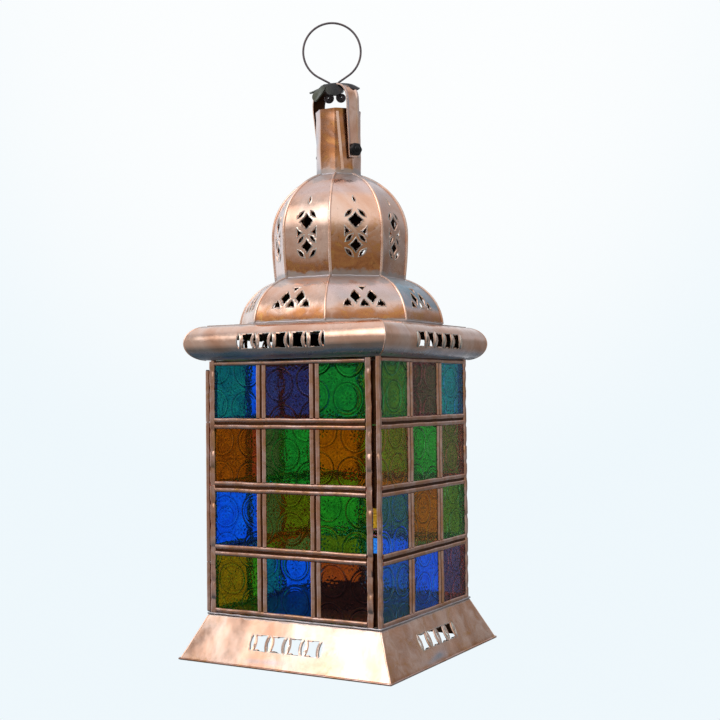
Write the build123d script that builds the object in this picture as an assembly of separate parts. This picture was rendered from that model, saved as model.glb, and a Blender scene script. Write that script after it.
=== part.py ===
"""Pierced copper lantern with coloured panes, a hinged door and a hanging handle.

Units are millimetres, +Z is up and the origin is the centre of the foot. The door faces -Y.
"""
import os
from math import acos, atan2, cos, degrees, hypot, radians, sin, sqrt, tan

from build123d import *

# Sheet copper and glass
sheet = 0.8                 # thickness of every copper sheet
pane_thick = 1.6            # thickness of a glass pane
pane_slack = 0.1            # room between a pane and each wall of its channel
pane_end_gap = 0.6          # room between the rim of a pane and the back of its channel

# Glazed body
body_width = 150.0          # outside, face to face
body_height = 193.2         # height of the glazed panels
columns = 3
rows = 4
came_depth = 3.0            # thickness of a panel
came_face = 3.6             # visible width of one strip of the grid
came_back = 0.7             # closed back of a strip
came_groove = 1.4           # dark groove between two strips
stile_face = 5.0            # visible width of the strip at each edge of a panel
glass_names = {"B": "blue", "G": "green", "A": "amber", "R": "red"}
door_glass = ("BRG", "AGA", "BAG", "GBR")       # rows from the top, seen from outside
right_glass = ("GRB", "AGR", "BAG", "GBR")
back_glass = ("GAG", "GGA", "AAG", "BBA")
left_glass = ("BBG", "GRA", "GBB", "BGA")

# Door, hinge and stop
door_gap = 3.5              # slit between the free edge of the door and the right panel
door_clear = 1.0            # room above and below the door
door_back_clear = 0.5       # room behind the closed door
pin_radius = 0.8
pin_head_radius = 1.3
pin_head_height = 0.8
knuckle_wall = 0.75
knuckle_bore_clear = 0.05   # radial running clearance of the pin
knuckle_clear = 0.4         # room beside the barrel and between knuckles
hinge_leaf = 1.0            # thickness of the rolled leaf on the door
hinge_bottom = 2.0          # barrel ends, from the bottom and the top of the body
hinge_top = 8.0
hinge_split_low = 38.7      # first and second split of the barrel, from the bottom of the body
hinge_split_high = 146.0
body_leaf_width = 11.0
stop_height = 46.0          # strip behind the free edge of the door
stop_reach = 7.0
stop_top_gap = 3.0

# Foot, floor and candle cup
floor_height = 34.0         # top of the floor plate
skirt_spread = 16.0         # each side of the skirt leans out by this much
skirt_lip = 7.0             # lip that carries the floor plate
hem_height = 3.0
cup_apothem = 22.0
cup_height = 16.0
cup_wall = 0.8

# Eave and deck
eave_radius = 13.0          # half-round moulding
eave_flange = 6.0
eave_folds = 7              # the half round is folded in this many steps
deck_rim = 7.0              # eight-sided opening, from the faces of the body

# Collar, dome and neck, all eight-sided: sizes are measured to the flats
sides = 8
collar_radius = 39.5        # bend of a collar panel
collar_drop = 1.8           # centre of that bend, below the deck
collar_height = 35.6
collar_lip = 5.0            # lip under the dome
collar_folds = 5
dome_inset = 25.4           # widest place of the dome, from the faces of the body
dome_swell_height = 36.4    # widest place, above the collar
dome_taper = 2.2            # draw-in from the widest place down to the collar
dome_radius = 50.0          # bend of the upper part of a gore
taper_folds = 1
dome_folds = 7
neck_apothem = 16.8
neck_rise = 51.7            # neck above the dome
neck_sink = 5.0             # neck below the top of the dome

# Handle, rosette and hanging loop
handle_lean = 4.0           # the handle hangs this much off plumb
strap_width = 12.0
strap_thick = 1.5
strap_clear = 0.3           # room between the legs and the neck
strap_flare = 3.4           # legs lean out by this much
strap_bend = 12.0
strap_rise = 53.4           # top of the handle above its bolts
strap_tail = 6.0            # leg below its bolt
bolt_radius = 2.1
bolt_drop = 33.0            # bolts below the rim of the neck
bolt_clear = 0.08
bolt_head_flats = 6.8
bolt_head_height = 2.4
nut_flats = 9.6
nut_height = 4.0
nut_gap = 0.3
bolt_stub = 1.0             # bolt end beyond its nut
rosette_radius = 22.0
rosette_rest = 1.0          # flat middle beyond the flat of the handle
rosette_slope = 11.0        # petals droop by this angle
rosette_thick = 1.0
petal_count = 6
petal_radius = 8.6
petal_sides = 10
loop_angle = 29.5           # plan direction of the plane of the loop
loop_radius = 23.0          # wire centre line
wire_radius = 1.0
wire_sides = 6
ring_folds = 18             # half of the ring, one bend and one curl are folded in these steps
bend_folds = 4
curl_folds = 9
loop_hole_offset = 3.4      # each hole from the middle of the rosette
loop_hole_radius = 2.0
loop_bend = 1.4
loop_bend_gap = 0.3         # bend above the rosette
loop_top = 51.8             # top of the loop, above the handle
curl_radius = 2.3
curl_gap = 0.8              # curls below the handle
curl_turn = 250.0           # degrees

# Pierced patterns
spool_pitch = 14.4          # eave and skirt: spool-shaped cuts between thin leaves
spool_width = 8.6
spool_waist = 6.0
spool_height = 10.4
slit_width = 2.0
eave_spools = 5
skirt_spools = 4
petal_cut_length = 7.6      # dome: leaf cuts round two hollow diamonds
petal_cut_width = 2.4
petal_cut_offset = 4.9
star_size = 10.2
star_pinch = 0.86           # 1 has straight sides
star_high = 41.0            # middle of the upper diamond above the collar
star_low = 23.0
notch_base = 6.8
notch_height = 4.0
notch_offset = 8.0
drop_height = 57.0          # small slit at the top of a gore
drop_length = 6.0
drop_width = 1.5
scale_pitch = 12.4          # collar: scales in three rows
scale_base = 6.2
scale_rise = 5.4
scale_foot = 10.8           # lowest row above the deck
kite_width = 7.4
kite_height = 8.8
cap_base = 6.0
cap_rise = 2.8

# Places that follow from the sizes above
body_half = body_width / 2
dome_apothem = body_half - dome_inset
panel_top = floor_height + body_height
eave_top = panel_top + 2 * eave_radius
deck_top = eave_top + sheet
collar_top = deck_top + collar_height
dome_middle = collar_top + dome_swell_height
dome_up_centre = dome_apothem - dome_radius
dome_top = dome_middle + sqrt(dome_radius**2 - (neck_apothem - dome_up_centre) ** 2)
rim_height = dome_top + neck_rise
bolt_height = rim_height - bolt_drop
strap_top = bolt_height + strap_rise
rosette_top = strap_top + rosette_thick
mitre_angle = 45.0
gore_half_angle = 180 / sides
handle_angle = -gore_half_angle         # the handle stands across an edge of the neck
neck_corner = neck_apothem / cos(radians(gore_half_angle))
handle_dir = Vector(cos(radians(handle_angle)), sin(radians(handle_angle)), 0)
section_plane = Plane(origin=(0, 0, 0), x_dir=(0, -1, 0), z_dir=(-1, 0, 0))


def folds(centre, radius, start, end, count):
    """Points of a bend that is folded in equal steps, angles in degrees."""
    turns = [radians(start + (end - start) * i / count) for i in range(count + 1)]
    return [(centre[0] + radius * cos(a), centre[1] + radius * sin(a)) for a in turns]


def wedge(half_angle, reach, height):
    """Upright sector about the -Y direction."""
    spread = reach * tan(radians(half_angle))
    return extrude(Polygon((0, 0), (-spread, -reach), (spread, -reach), align=None), height)


def bent_side(section, half_angle, reach, cuts):
    """Sheet with the given section on the -Y side, mitred at both ends and pierced."""
    length = reach * tan(radians(half_angle)) + sheet
    side = extrude(section_plane * section, length, both=True)
    side = side & wedge(half_angle, reach, rim_height)
    return side - extrude(Plane.XZ * cuts, reach)


def leaf(length, width):
    """Upright pointed leaf."""
    return Polygon((width / 2, 0), (0, length / 2), (-width / 2, 0), (0, -length / 2), align=None)


def hollow_diamond(size):
    """Upright diamond with sides drawn in."""
    tip = size / 2
    pull = tip / 2 * star_pinch
    return Polygon((tip, 0), (pull, pull), (0, tip), (-pull, pull), (-tip, 0), (-pull, -pull), (0, -tip),
                   (pull, -pull), align=None)


def spool():
    """Upright window with two sides drawn in."""
    x, y, waist = spool_width / 2, spool_height / 2, spool_waist / 2
    return Polygon((x, -y), (waist, 0), (x, y), (-x, y), (-waist, 0), (-x, -y), align=None)


def triangle(base, rise):
    """Triangle on its base, or on its tip where the rise is negative."""
    return Polygon((-base / 2, 0), (base / 2, 0), (0, rise), align=None)


def spool_row(count, height):
    """Spools with a leaf on each side of every one."""
    first = -(count - 1) / 2 * spool_pitch
    spools = [Pos(first + i * spool_pitch, height) * spool() for i in range(count)]
    slits = [Pos(first + (i - 0.5) * spool_pitch, height) * leaf(spool_height, slit_width)
             for i in range(count + 1)]
    return Sketch() + spools + slits


def gore_pattern():
    """Two hollow diamonds among leaf cuts, side notches and a slit above."""
    cuts = [Pos(0, collar_top + drop_height) * leaf(drop_length, drop_width)]
    waist = collar_top + (star_high + star_low) / 2
    for height in (star_high, star_low):
        cuts.append(Pos(0, collar_top + height) * hollow_diamond(star_size))
    for side in (1, -1):
        x = side * petal_cut_offset
        for height, lean in ((star_high, 1), (star_low, 1), (star_low, -1)):
            z = collar_top + height + lean * petal_cut_offset
            cuts.append(Pos(x, z) * Rot(0, 0, 45 * side * lean) * leaf(petal_cut_length, petal_cut_width))
        cuts.append(Pos(side * notch_offset, waist) * Rot(0, 0, 90 * side) * triangle(notch_base, notch_height))
    return Sketch() + cuts


def collar_pattern():
    """Scales: three at the foot, two kites above and one cap."""
    foot = deck_top + scale_foot
    kite_middle = foot + scale_rise / 2 + kite_height / 2
    cuts = [Pos(i * scale_pitch, foot) * triangle(scale_base, scale_rise) for i in (-1, 0, 1)]
    cuts += [Pos(i * scale_pitch, kite_middle) * leaf(kite_height, kite_width) for i in (-0.5, 0.5)]
    cuts.append(Pos(0, kite_middle + kite_height / 2) * triangle(cap_base, -cap_rise))
    return Sketch() + cuts


def channel(length, face):
    """U-shaped strip along X, centred, open upwards, outside face at y = 0."""
    slot = pane_thick + 2 * pane_slack
    bar = extrude(Plane.YZ * Rectangle(came_depth, face, align=Align.MIN), length / 2, both=True)
    groove = Pos((came_depth - slot) / 2, came_back) * Rectangle(slot, face, align=Align.MIN)
    return bar - extrude(Plane.YZ * groove, length / 2, both=True)


def glazed_panel(left, right, bottom, top, glass):
    """Stiles, grid strips and panes of one panel on the -Y side."""
    pair = 2 * came_face + came_groove
    cell_width = (right - left - 2 * stile_face - (columns - 1) * pair) / columns
    cell_height = (top - bottom - 2 * came_face - (rows - 1) * pair) / rows
    outside = -body_half
    middle = (bottom + top) / 2
    stile = channel(top - bottom, stile_face)
    stiles = [Pos(left, outside, middle) * Rot(0, 90, 0) * stile]
    stiles.append(Pos(right, outside, middle) * Rot(0, -90, 0) * stile)
    rail = channel(right - left - 2 * stile_face, came_face)
    mullion = channel(cell_height, came_face)
    came_bite = came_face - came_back - pane_end_gap
    stile_bite = stile_face - came_back - pane_end_gap
    cames = []
    panes = {}
    for row in range(rows):
        cell_top = top - came_face - row * (cell_height + pair)
        cell_bottom = cell_top - cell_height
        cell_middle = (cell_top + cell_bottom) / 2
        cames.append(Pos((left + right) / 2, outside, cell_bottom - came_face) * rail)
        cames.append(Pos((left + right) / 2, outside, cell_top + came_face) * Rot(0, 180, 0) * rail)
        for column in range(columns):
            cell_left = left + stile_face + column * (cell_width + pair)
            cell_right = cell_left + cell_width
            pane_left = cell_left - stile_bite
            pane_right = cell_right + stile_bite
            if column > 0:
                pane_left = cell_left - came_bite
                cames.append(Pos(cell_left - came_face, outside, cell_middle) * Rot(0, 90, 0) * mullion)
            if column < columns - 1:
                pane_right = cell_right + came_bite
                cames.append(Pos(cell_right + came_face, outside, cell_middle) * Rot(0, -90, 0) * mullion)
            pane = Box(pane_right - pane_left, pane_thick, cell_height + 2 * came_bite)
            place = Pos((pane_left + pane_right) / 2, outside + came_depth / 2, cell_middle)
            panes.setdefault(glass_names[glass[row][column]], []).append(place * pane)
    return stiles, cames, panes


def turned(shapes, quarter):
    """Copies of shapes on the -Y side, moved to another side of the body."""
    return [Rot(0, 0, 90 * quarter) * shape for shape in shapes]


nodes = {}


def add(name, shapes):
    """Keep one named sub-part, a single solid or a group of equal pieces."""
    nodes[name] = Compound(children=list(shapes)) if isinstance(shapes, (list, tuple)) else shapes


def add_panel(name, quarter, left, right, bottom, top, glass):
    """Sub-parts of one glazed panel."""
    stiles, cames, panes = glazed_panel(left, right, bottom, top, glass)
    add(f"{name}_stiles", turned(stiles, quarter))
    add(f"{name}_cames", turned(cames, quarter))
    for colour, pieces in panes.items():
        add(f"{name}_panes_{colour}", turned(pieces, quarter))


# Glazed panels: the right one runs past both corners, the others stop against it or behind the door
inner_half = body_half - came_depth
barrel_radius = pin_radius + knuckle_bore_clear + knuckle_wall
hinge_y = -body_half + came_depth / 2
hinge_x = -body_half - sheet - knuckle_bore_clear
door_left = hinge_x + barrel_radius + knuckle_clear
door_right = inner_half - door_gap
door_bottom = floor_height + door_clear
door_top = panel_top - door_clear
add_panel("door", 0, door_left, door_right, door_bottom, door_top, door_glass)
add_panel("right", 1, -body_half, body_half, floor_height, panel_top, right_glass)
add_panel("back", 2, -inner_half, inner_half, floor_height, panel_top, back_glass)
add_panel("left", 3, -body_half, inner_half - door_back_clear, floor_height, panel_top, left_glass)

# Hinge: a rolled leaf on the body above and below, one on the door between, and a headed wire pin
barrel_bottom = floor_height + hinge_bottom
barrel_top = panel_top - hinge_top
split_low = floor_height + hinge_split_low
split_high = floor_height + hinge_split_high


def knuckle(bottom, top):
    """Rolled barrel on the hinge line, with its bore."""
    ring = Circle(barrel_radius) - Circle(pin_radius + knuckle_bore_clear)
    return Pos(hinge_x, hinge_y, bottom) * extrude(ring, top - bottom)


def bore(bottom, top):
    """Clear space for the pin."""
    return Pos(hinge_x, hinge_y, bottom) * extrude(Circle(pin_radius + knuckle_bore_clear), top - bottom)


def body_leaf(bottom, top):
    """Barrel with a flat leaf on the outside of the left panel."""
    plate = Rectangle(sheet, body_leaf_width, align=(Align.MAX, Align.MIN))
    leaf = Pos(-body_half, hinge_y, bottom) * extrude(plate, top - bottom)
    return knuckle(bottom, top) + leaf - bore(bottom, top)


def door_leaf(bottom, top):
    """Barrel with a leaf on the edge of the door."""
    plate = Rectangle(hinge_leaf, came_depth, align=(Align.MAX, Align.CENTER))
    leaf = Pos(door_left, hinge_y, bottom) * extrude(plate, top - bottom)
    return knuckle(bottom, top) + leaf - bore(bottom, top)


add("hinge_body_leaves", [body_leaf(barrel_bottom, split_low), body_leaf(split_high, barrel_top)])
add("hinge_door_leaf", door_leaf(split_low + knuckle_clear, split_high - knuckle_clear))
pin_head = Cylinder(pin_head_radius, pin_head_height, align=(Align.CENTER, Align.CENTER, Align.MIN))
pin_shank = Pos(hinge_x, hinge_y, barrel_bottom) * extrude(Circle(pin_radius), barrel_top - barrel_bottom)
add("hinge_pin", pin_shank + Pos(hinge_x, hinge_y, barrel_top) * pin_head
    + Pos(hinge_x, hinge_y, barrel_bottom - pin_head_height) * pin_head)

# Stop: an angle strip inside the right panel, behind the free edge of the door
stop_face = -inner_half + door_back_clear
stop_arm = Rectangle(stop_reach, sheet, align=(Align.MAX, Align.MIN))
stop_foot = Rectangle(sheet, stop_reach, align=(Align.MAX, Align.MIN))
stop_bottom = panel_top - stop_top_gap - stop_height
add("door_stop", Pos(inner_half, stop_face, stop_bottom) * extrude(stop_arm + stop_foot, stop_height))

# Foot: four flared panels with a lip above and a hem at the floor, then the floor plate
lip_top = floor_height - sheet
foot_half = body_half + skirt_spread
slope = hypot(skirt_spread, lip_top)
out_x, out_z = lip_top / slope, skirt_spread / slope
thick_x = sheet / out_x
hem_x = foot_half - hem_height / out_x * out_z
skirt_section = Polygon(
    (body_half - skirt_lip, lip_top), (body_half, lip_top), (hem_x, hem_height), (hem_x + thick_x, hem_height),
    (foot_half + thick_x, 0), (foot_half - thick_x, 0),
    (body_half - thick_x + sheet * out_z / out_x, lip_top - sheet), (body_half - skirt_lip, lip_top - sheet),
    align=None)
skirt_reach = foot_half + 2 * thick_x
for quarter, side_name in enumerate(("front", "right", "back", "left")):
    skirt = bent_side(skirt_section, mitre_angle, skirt_reach, spool_row(skirt_spools, lip_top / 2))
    add(f"skirt_{side_name}", turned([skirt], quarter)[0])
add("floor_plate", Pos(0, 0, lip_top) * extrude(Rectangle(body_width, body_width), sheet))

# Eave: four half-round mouldings flanged on the panels and under the deck
eave_middle = panel_top + eave_radius
flange_end = body_half - eave_flange
eave_centre = (body_half, eave_middle)
eave_section = Polygon(
    (flange_end, panel_top), *folds(eave_centre, eave_radius, -90, 90, eave_folds), (flange_end, eave_top),
    (flange_end, eave_top - sheet), *folds(eave_centre, eave_radius - sheet, 90, -90, eave_folds),
    (flange_end, panel_top + sheet), align=None)
eave_reach = body_half + eave_radius + sheet
for quarter, side_name in enumerate(("front", "right", "back", "left")):
    eave = bent_side(eave_section, mitre_angle, eave_reach, spool_row(eave_spools, eave_middle))
    add(f"eave_{side_name}", turned([eave], quarter)[0])


def octagon(apothem):
    """Regular octagon with flats on the four faces of the body."""
    return RegularPolygon(apothem, sides, major_radius=False, rotation=gore_half_angle)


deck = Rectangle(body_width, body_width) - octagon(body_half - deck_rim)
add("deck_plate", Pos(0, 0, eave_top) * extrude(deck, sheet))

# Candle cup: eight-sided, in the middle of the floor
cup_side = extrude(octagon(cup_apothem) - octagon(cup_apothem - cup_wall), cup_height)
add("candle_cup", Pos(0, 0, floor_height) * (cup_side + extrude(octagon(cup_apothem), cup_wall)))

# Collar: eight bent panels that stand on the deck, with a lip for the dome
collar_centre = (body_half - collar_radius, deck_top - collar_drop)
collar_foot = degrees(acos(sqrt(collar_radius**2 - collar_drop**2) / collar_radius))
inner_bend = collar_radius - sheet
collar_foot_in = degrees(acos(sqrt(inner_bend**2 - collar_drop**2) / inner_bend))
lip_angle = degrees(acos(sqrt(collar_radius**2 - (collar_height + collar_drop) ** 2) / collar_radius))
lip_angle_in = degrees(acos(sqrt(inner_bend**2 - (collar_height + collar_drop - sheet) ** 2) / inner_bend))
lip_end = dome_apothem - dome_taper - collar_lip
collar_section = Polygon(
    *folds(collar_centre, collar_radius, collar_foot, lip_angle, collar_folds), (lip_end, collar_top),
    (lip_end, collar_top - sheet), *folds(collar_centre, inner_bend, lip_angle_in, collar_foot_in, collar_folds),
    align=None)
collar_panel = bent_side(collar_section, gore_half_angle, body_half + sheet, collar_pattern())
for place in range(sides):
    add(f"collar_panel_{place + 1}", Rot(0, 0, 2 * gore_half_angle * place) * collar_panel)

# Dome: eight bent gores between the collar and the neck
taper_radius = (dome_swell_height**2 + dome_taper**2) / (2 * dome_taper)
low_centre = (dome_apothem - taper_radius, dome_middle)
up_centre = (dome_up_centre, dome_middle)


def foot_angle(radius):
    """Angle at which the lower bend meets the collar."""
    return -degrees(acos(sqrt(radius**2 - dome_swell_height**2) / radius))


def crown_angle(radius):
    """Angle at which the upper bend meets the neck."""
    return degrees(acos((neck_apothem - dome_up_centre) / radius))


inner_taper = taper_radius - sheet
inner_dome = dome_radius - sheet
gore_section = Polygon(
    *folds(low_centre, taper_radius, foot_angle(taper_radius), 0, taper_folds)[:-1],
    *folds(up_centre, dome_radius, 0, crown_angle(dome_radius), dome_folds),
    *folds(up_centre, inner_dome, crown_angle(inner_dome), 0, dome_folds)[:-1],
    *folds(low_centre, inner_taper, 0, foot_angle(inner_taper), taper_folds), align=None)
gore = bent_side(gore_section, gore_half_angle, dome_apothem + sheet, gore_pattern())
for place in range(sides):
    add(f"dome_gore_{place + 1}", Rot(0, 0, 2 * gore_half_angle * place) * gore)

# Neck: an open eight-sided tube, bolted through two opposite edges
strap_inside = neck_corner + strap_clear
nut_face = strap_inside + strap_thick + strap_flare * strap_tail / strap_rise + nut_gap
head_face = (neck_apothem - sheet) / cos(radians(gore_half_angle)) \
    - bolt_head_flats / 2 * tan(radians(gore_half_angle)) - bolt_clear
bolt_line = Plane(origin=(0, 0, bolt_height), x_dir=(0, 0, 1), z_dir=handle_dir)
upright = (Align.CENTER, Align.CENTER, Align.MIN)
neck_bottom = dome_top - neck_sink
neck_wall = extrude(octagon(neck_apothem) - octagon(neck_apothem - sheet), rim_height - neck_bottom)
neck_holes = extrude(bolt_line * Circle(bolt_radius + bolt_clear), neck_corner, both=True)
add("neck_tube", Pos(0, 0, neck_bottom) * neck_wall - neck_holes)


def both_ends(shape):
    """One piece on the handle's line and its twin on the opposite side."""
    return [shape, Rot(0, 0, 180) * shape]


bolt_end = nut_face + nut_height + bolt_stub
shank = Pos(0, 0, head_face) * Cylinder(bolt_radius, bolt_end - head_face, align=upright)
head_plan = RegularPolygon(bolt_head_flats / 2, 6, major_radius=False)
head = Pos(0, 0, head_face - bolt_head_height) * extrude(head_plan, bolt_head_height)
add("handle_bolts", both_ends(bolt_line * (shank + head)))
nut_plan = RegularPolygon(nut_flats / 2, 6, major_radius=False) - Circle(bolt_radius + bolt_clear)
nut = Pos(0, 0, nut_face) * extrude(nut_plan, nut_height)
add("handle_nuts", both_ends(bolt_line * nut))

# Handle: an arched band with a hole at each end, and the rosette on its flat top
handle_plane = Plane(origin=(0, 0, 0), x_dir=handle_dir, z_dir=(handle_dir.Y, -handle_dir.X, 0))
lean_axis = Axis((0, 0, bolt_height), tuple(handle_dir))


def leaned(shape):
    """Handle piece turned about its bolts to hang off plumb."""
    return shape.rotate(lean_axis, handle_lean)


def strap_line(offset):
    """One face of the band: up a leg, over the top and down."""
    foot = bolt_height - strap_tail
    low = strap_inside + offset
    high = strap_inside + strap_flare + offset
    top = strap_top - strap_thick + offset
    return FilletPolyline((low, foot), (high, top), (-high, top), (-low, foot), radius=strap_bend + offset)


inner_line = strap_line(0)
outer_line = strap_line(strap_thick)
band = make_face(inner_line.edges() + outer_line.edges() + [
    Line(inner_line @ 0, outer_line @ 0), Line(inner_line @ 1, outer_line @ 1)])
strap = extrude(handle_plane * band, strap_width / 2, both=True)
strap_reach = strap_inside + strap_flare + strap_width
strap -= extrude(bolt_line * Circle(bolt_radius + bolt_clear), strap_reach, both=True)
hole_places = [Rot(0, 0, loop_angle) * Pos(side * loop_hole_offset, 0) for side in (1, -1)]
loop_holes = Sketch() + [place * RegularPolygon(loop_hole_radius, sides) for place in hole_places]
loop_cut = Pos(0, 0, bolt_height) * extrude(loop_holes, strap_rise + rosette_thick + strap_thick)
add("handle_strap", leaned(strap - loop_cut))

strap_flat = strap_inside + strap_flare - strap_bend
rosette_flat = hypot(strap_flat, strap_width / 2) + rosette_rest
rosette_fall = tan(radians(rosette_slope))
rosette_edge = rosette_radius + rosette_thick / rosette_fall


def tent(height):
    """Flat-topped roof with one slope under each petal."""
    rims = []
    for reach in (rosette_flat, rosette_edge):
        plan = RegularPolygon(reach, petal_count, major_radius=False, rotation=180 / petal_count)
        rims.append(Pos(0, 0, height - (reach - rosette_flat) * rosette_fall) * plan)
    return loft(rims, ruled=True)


petal = RegularPolygon(petal_radius, petal_sides)
petals = RegularPolygon(rosette_flat, 2 * petal_count) \
    + PolarLocations(rosette_radius - petal_radius, petal_count) * petal
petal_block = Pos(0, 0, strap_top - rosette_radius) * extrude(petals, 2 * rosette_radius)
rosette = (tent(rosette_top) - tent(strap_top)) & petal_block
add("rosette_washer", leaned(rosette - loop_cut))

# Hanging loop: an open wire ring whose ends pass the two holes and curl under the handle
ring_centre = strap_top + loop_top - wire_radius - loop_radius
bend_height = rosette_top + loop_bend_gap + wire_radius
bend_x = loop_hole_offset + loop_bend
bend_drop = ring_centre - bend_height
slant = degrees(atan2(bend_x, bend_drop) + acos((loop_radius + loop_bend) / hypot(bend_x, bend_drop)))
curl_height = strap_top - strap_thick - curl_gap - wire_radius - curl_radius
loop_plane = Plane(origin=(0, 0, 0), x_dir=(cos(radians(loop_angle)), sin(radians(loop_angle)), 0),
                   z_dir=(sin(radians(loop_angle)), -cos(radians(loop_angle)), 0))
half_path = Polyline(
    *folds((0, ring_centre), loop_radius, 90, slant - 90, ring_folds),
    *folds((bend_x, bend_height), loop_bend, 90 + slant, 180, bend_folds),
    *folds((loop_hole_offset + curl_radius, curl_height), curl_radius, 180, 180 + curl_turn, curl_folds))
wire_end = Plane(origin=half_path @ 0, z_dir=(1, 0, 0)) * RegularPolygon(wire_radius, wire_sides)
half_loop = sweep(wire_end, half_path, transition=Transition.RIGHT)
loop = half_loop + mirror(half_loop, Plane.YZ)
add("hanging_loop", leaned(loop_plane * loop))

os.makedirs("parts", exist_ok=True)
for name, shape in nodes.items():
    export_step(shape, os.path.join("parts", f"{name}.step"))
print(len(nodes), "sub-parts")
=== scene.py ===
# %% [markdown]
# # A pierced copper lantern with coloured panes
# This lesson dresses a lantern that was built in CAD. The CAD solids give every size and place, and they
# know how the door, the handle and the wire loop move. Here each sheet, strip, pane and wire is modelled
# again as a craftsperson makes it: bent by hand, a little uneven, soldered at the seams.

# %% Load the frame
from math import acos, asin, atan2, cos, degrees, hypot, pi, radians, sin, tan

import bpy
import numpy as np
from mathutils import Matrix, Vector, noise


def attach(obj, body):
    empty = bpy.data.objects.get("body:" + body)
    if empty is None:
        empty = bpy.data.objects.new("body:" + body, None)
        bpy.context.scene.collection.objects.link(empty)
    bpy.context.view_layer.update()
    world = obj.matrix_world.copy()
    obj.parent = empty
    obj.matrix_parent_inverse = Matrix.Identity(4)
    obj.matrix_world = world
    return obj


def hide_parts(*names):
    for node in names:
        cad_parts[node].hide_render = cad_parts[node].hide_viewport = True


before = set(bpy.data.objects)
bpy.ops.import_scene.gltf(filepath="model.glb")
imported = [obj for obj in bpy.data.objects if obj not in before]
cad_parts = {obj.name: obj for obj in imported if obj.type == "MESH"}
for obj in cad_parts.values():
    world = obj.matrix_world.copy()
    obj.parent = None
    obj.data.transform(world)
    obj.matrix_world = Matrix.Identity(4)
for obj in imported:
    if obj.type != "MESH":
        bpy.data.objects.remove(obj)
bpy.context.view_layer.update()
mm = 0.001
to_metres = Matrix.Diagonal((mm, mm, mm, 1))

# %% [markdown]
# ## The camera
# The photograph looks at one corner of the lantern from a little below its middle. The numbers come from
# the corners of the body, which fix the distance, the direction and the lens. Placing the camera first means
# that every later render can be laid beside the photograph.

# %% Camera
view_turn, view_pitch, view_roll = radians(29.545), radians(1.582), radians(-0.581)
view_distance, view_aside, view_height = 0.94685, 0.015371, 0.201012
level = Vector((-sin(view_turn), cos(view_turn), 0))
aside = Vector((cos(view_turn), sin(view_turn), 0))
skyward = Vector((0, 0, 1))
ahead = level * cos(view_pitch) + skyward * sin(view_pitch)
upright = skyward * cos(view_pitch) - level * sin(view_pitch)
right_hand = aside * cos(view_roll) + upright * sin(view_roll)
top_hand = upright * cos(view_roll) - aside * sin(view_roll)
camera_data = bpy.data.cameras.new("camera")
camera_data.lens, camera_data.sensor_width = 59.684, 36.0
camera = bpy.data.objects.new("camera", camera_data)
bpy.context.scene.collection.objects.link(camera)
camera_place = aside * view_aside - level * view_distance + skyward * view_height
camera_turn = Matrix((right_hand, top_hand, -ahead)).transposed().to_4x4()
camera.matrix_world = Matrix.Translation(camera_place) @ camera_turn
bpy.context.scene.camera = camera
print("camera at", tuple(round(c, 3) for c in camera_place))

# %% [markdown]
# ## Small helpers
# Operators act on whatever is selected, so one helper selects a single object. Others add a primitive, open a
# piece in edit mode, cut it and close it again, and the last ones give a finished piece its thickness, its
# materials, its name and its body.


# %% Helpers for objects
def only(piece):
    """Select one object and make it active."""
    if bpy.context.mode != "OBJECT":
        bpy.ops.object.mode_set(mode="OBJECT")
    bpy.ops.object.select_all(action="DESELECT")
    piece.select_set(True)
    bpy.context.view_layer.objects.active = piece


def added(primitive, **values):
    """Add a primitive with nothing else selected."""
    bpy.ops.object.select_all(action="DESELECT")
    primitive(**values)
    return bpy.context.active_object


def placed(name, data):
    """New object in the scene."""
    made = bpy.data.objects.new(name, data)
    bpy.context.scene.collection.objects.link(made)
    return made


def copy_of(piece, name, turn=None):
    """A copy with its own mesh, turned or moved by a matrix."""
    twin = placed(name, piece.data.copy())
    if turn is not None:
        twin.data.transform(turn)
    return twin


def drop(piece):
    """Remove a model that was only copied from."""
    bpy.data.objects.remove(piece, do_unlink=True)


def joined(pieces, name):
    """Several objects as one mesh."""
    only(pieces[0])
    for piece in pieces:
        piece.select_set(True)
    if len(pieces) > 1:
        bpy.ops.object.join()
    pieces[0].name = name
    return pieces[0]


def line_mesh(name, lines, closed, **settings):
    """Mesh of a curve that runs through the points of one or more lines."""
    curve = bpy.data.curves.new(name, "CURVE")
    for key, value in settings.items():
        setattr(curve, key, value)
    for line in lines:
        spline = curve.splines.new("POLY")
        spline.points.add(len(line) - 1)
        for point, place in zip(spline.points, line):
            point.co = (*place, 1)
        spline.use_cyclic_u = closed
    piece = placed(name, curve)
    only(piece)
    bpy.ops.object.convert(target="MESH")
    piece.data.materials.clear()
    return piece


# %% Helpers for meshes
def points_of(piece):
    """Vertex places of a piece as an array."""
    places = np.zeros(len(piece.data.vertices) * 3)
    piece.data.vertices.foreach_get("co", places)
    return places.reshape(-1, 3)


def set_points(piece, places):
    """Move the vertices of a piece to new places."""
    piece.data.vertices.foreach_set("co", np.asarray(places, np.float32).ravel())
    piece.data.update()


def wobble(places, size, depth, seed):
    """Slow uneven waves for hand work, one value per point."""
    shift = Vector((seed * 7.13, seed * 3.71, seed * 5.39))
    return np.array([depth * noise.noise(Vector(p) / size + shift) for p in places])


def unit(values):
    """Values held between zero and one."""
    return np.clip(values, 0, 1)


def set_tone(piece, **tones):
    """Write numbers per vertex, which the materials read."""
    for name, values in tones.items():
        store = piece.data.attributes.new(name, "FLOAT", "POINT")
        store.data.foreach_set("value", unit(values).astype(np.float32))


def edit(piece, action="SELECT", kind=None):
    """Open a piece in edit mode with all or nothing of it selected."""
    only(piece)
    bpy.ops.object.mode_set(mode="EDIT")
    if kind:
        bpy.ops.mesh.select_mode(type=kind)
    bpy.ops.mesh.select_all(action=action)


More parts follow.
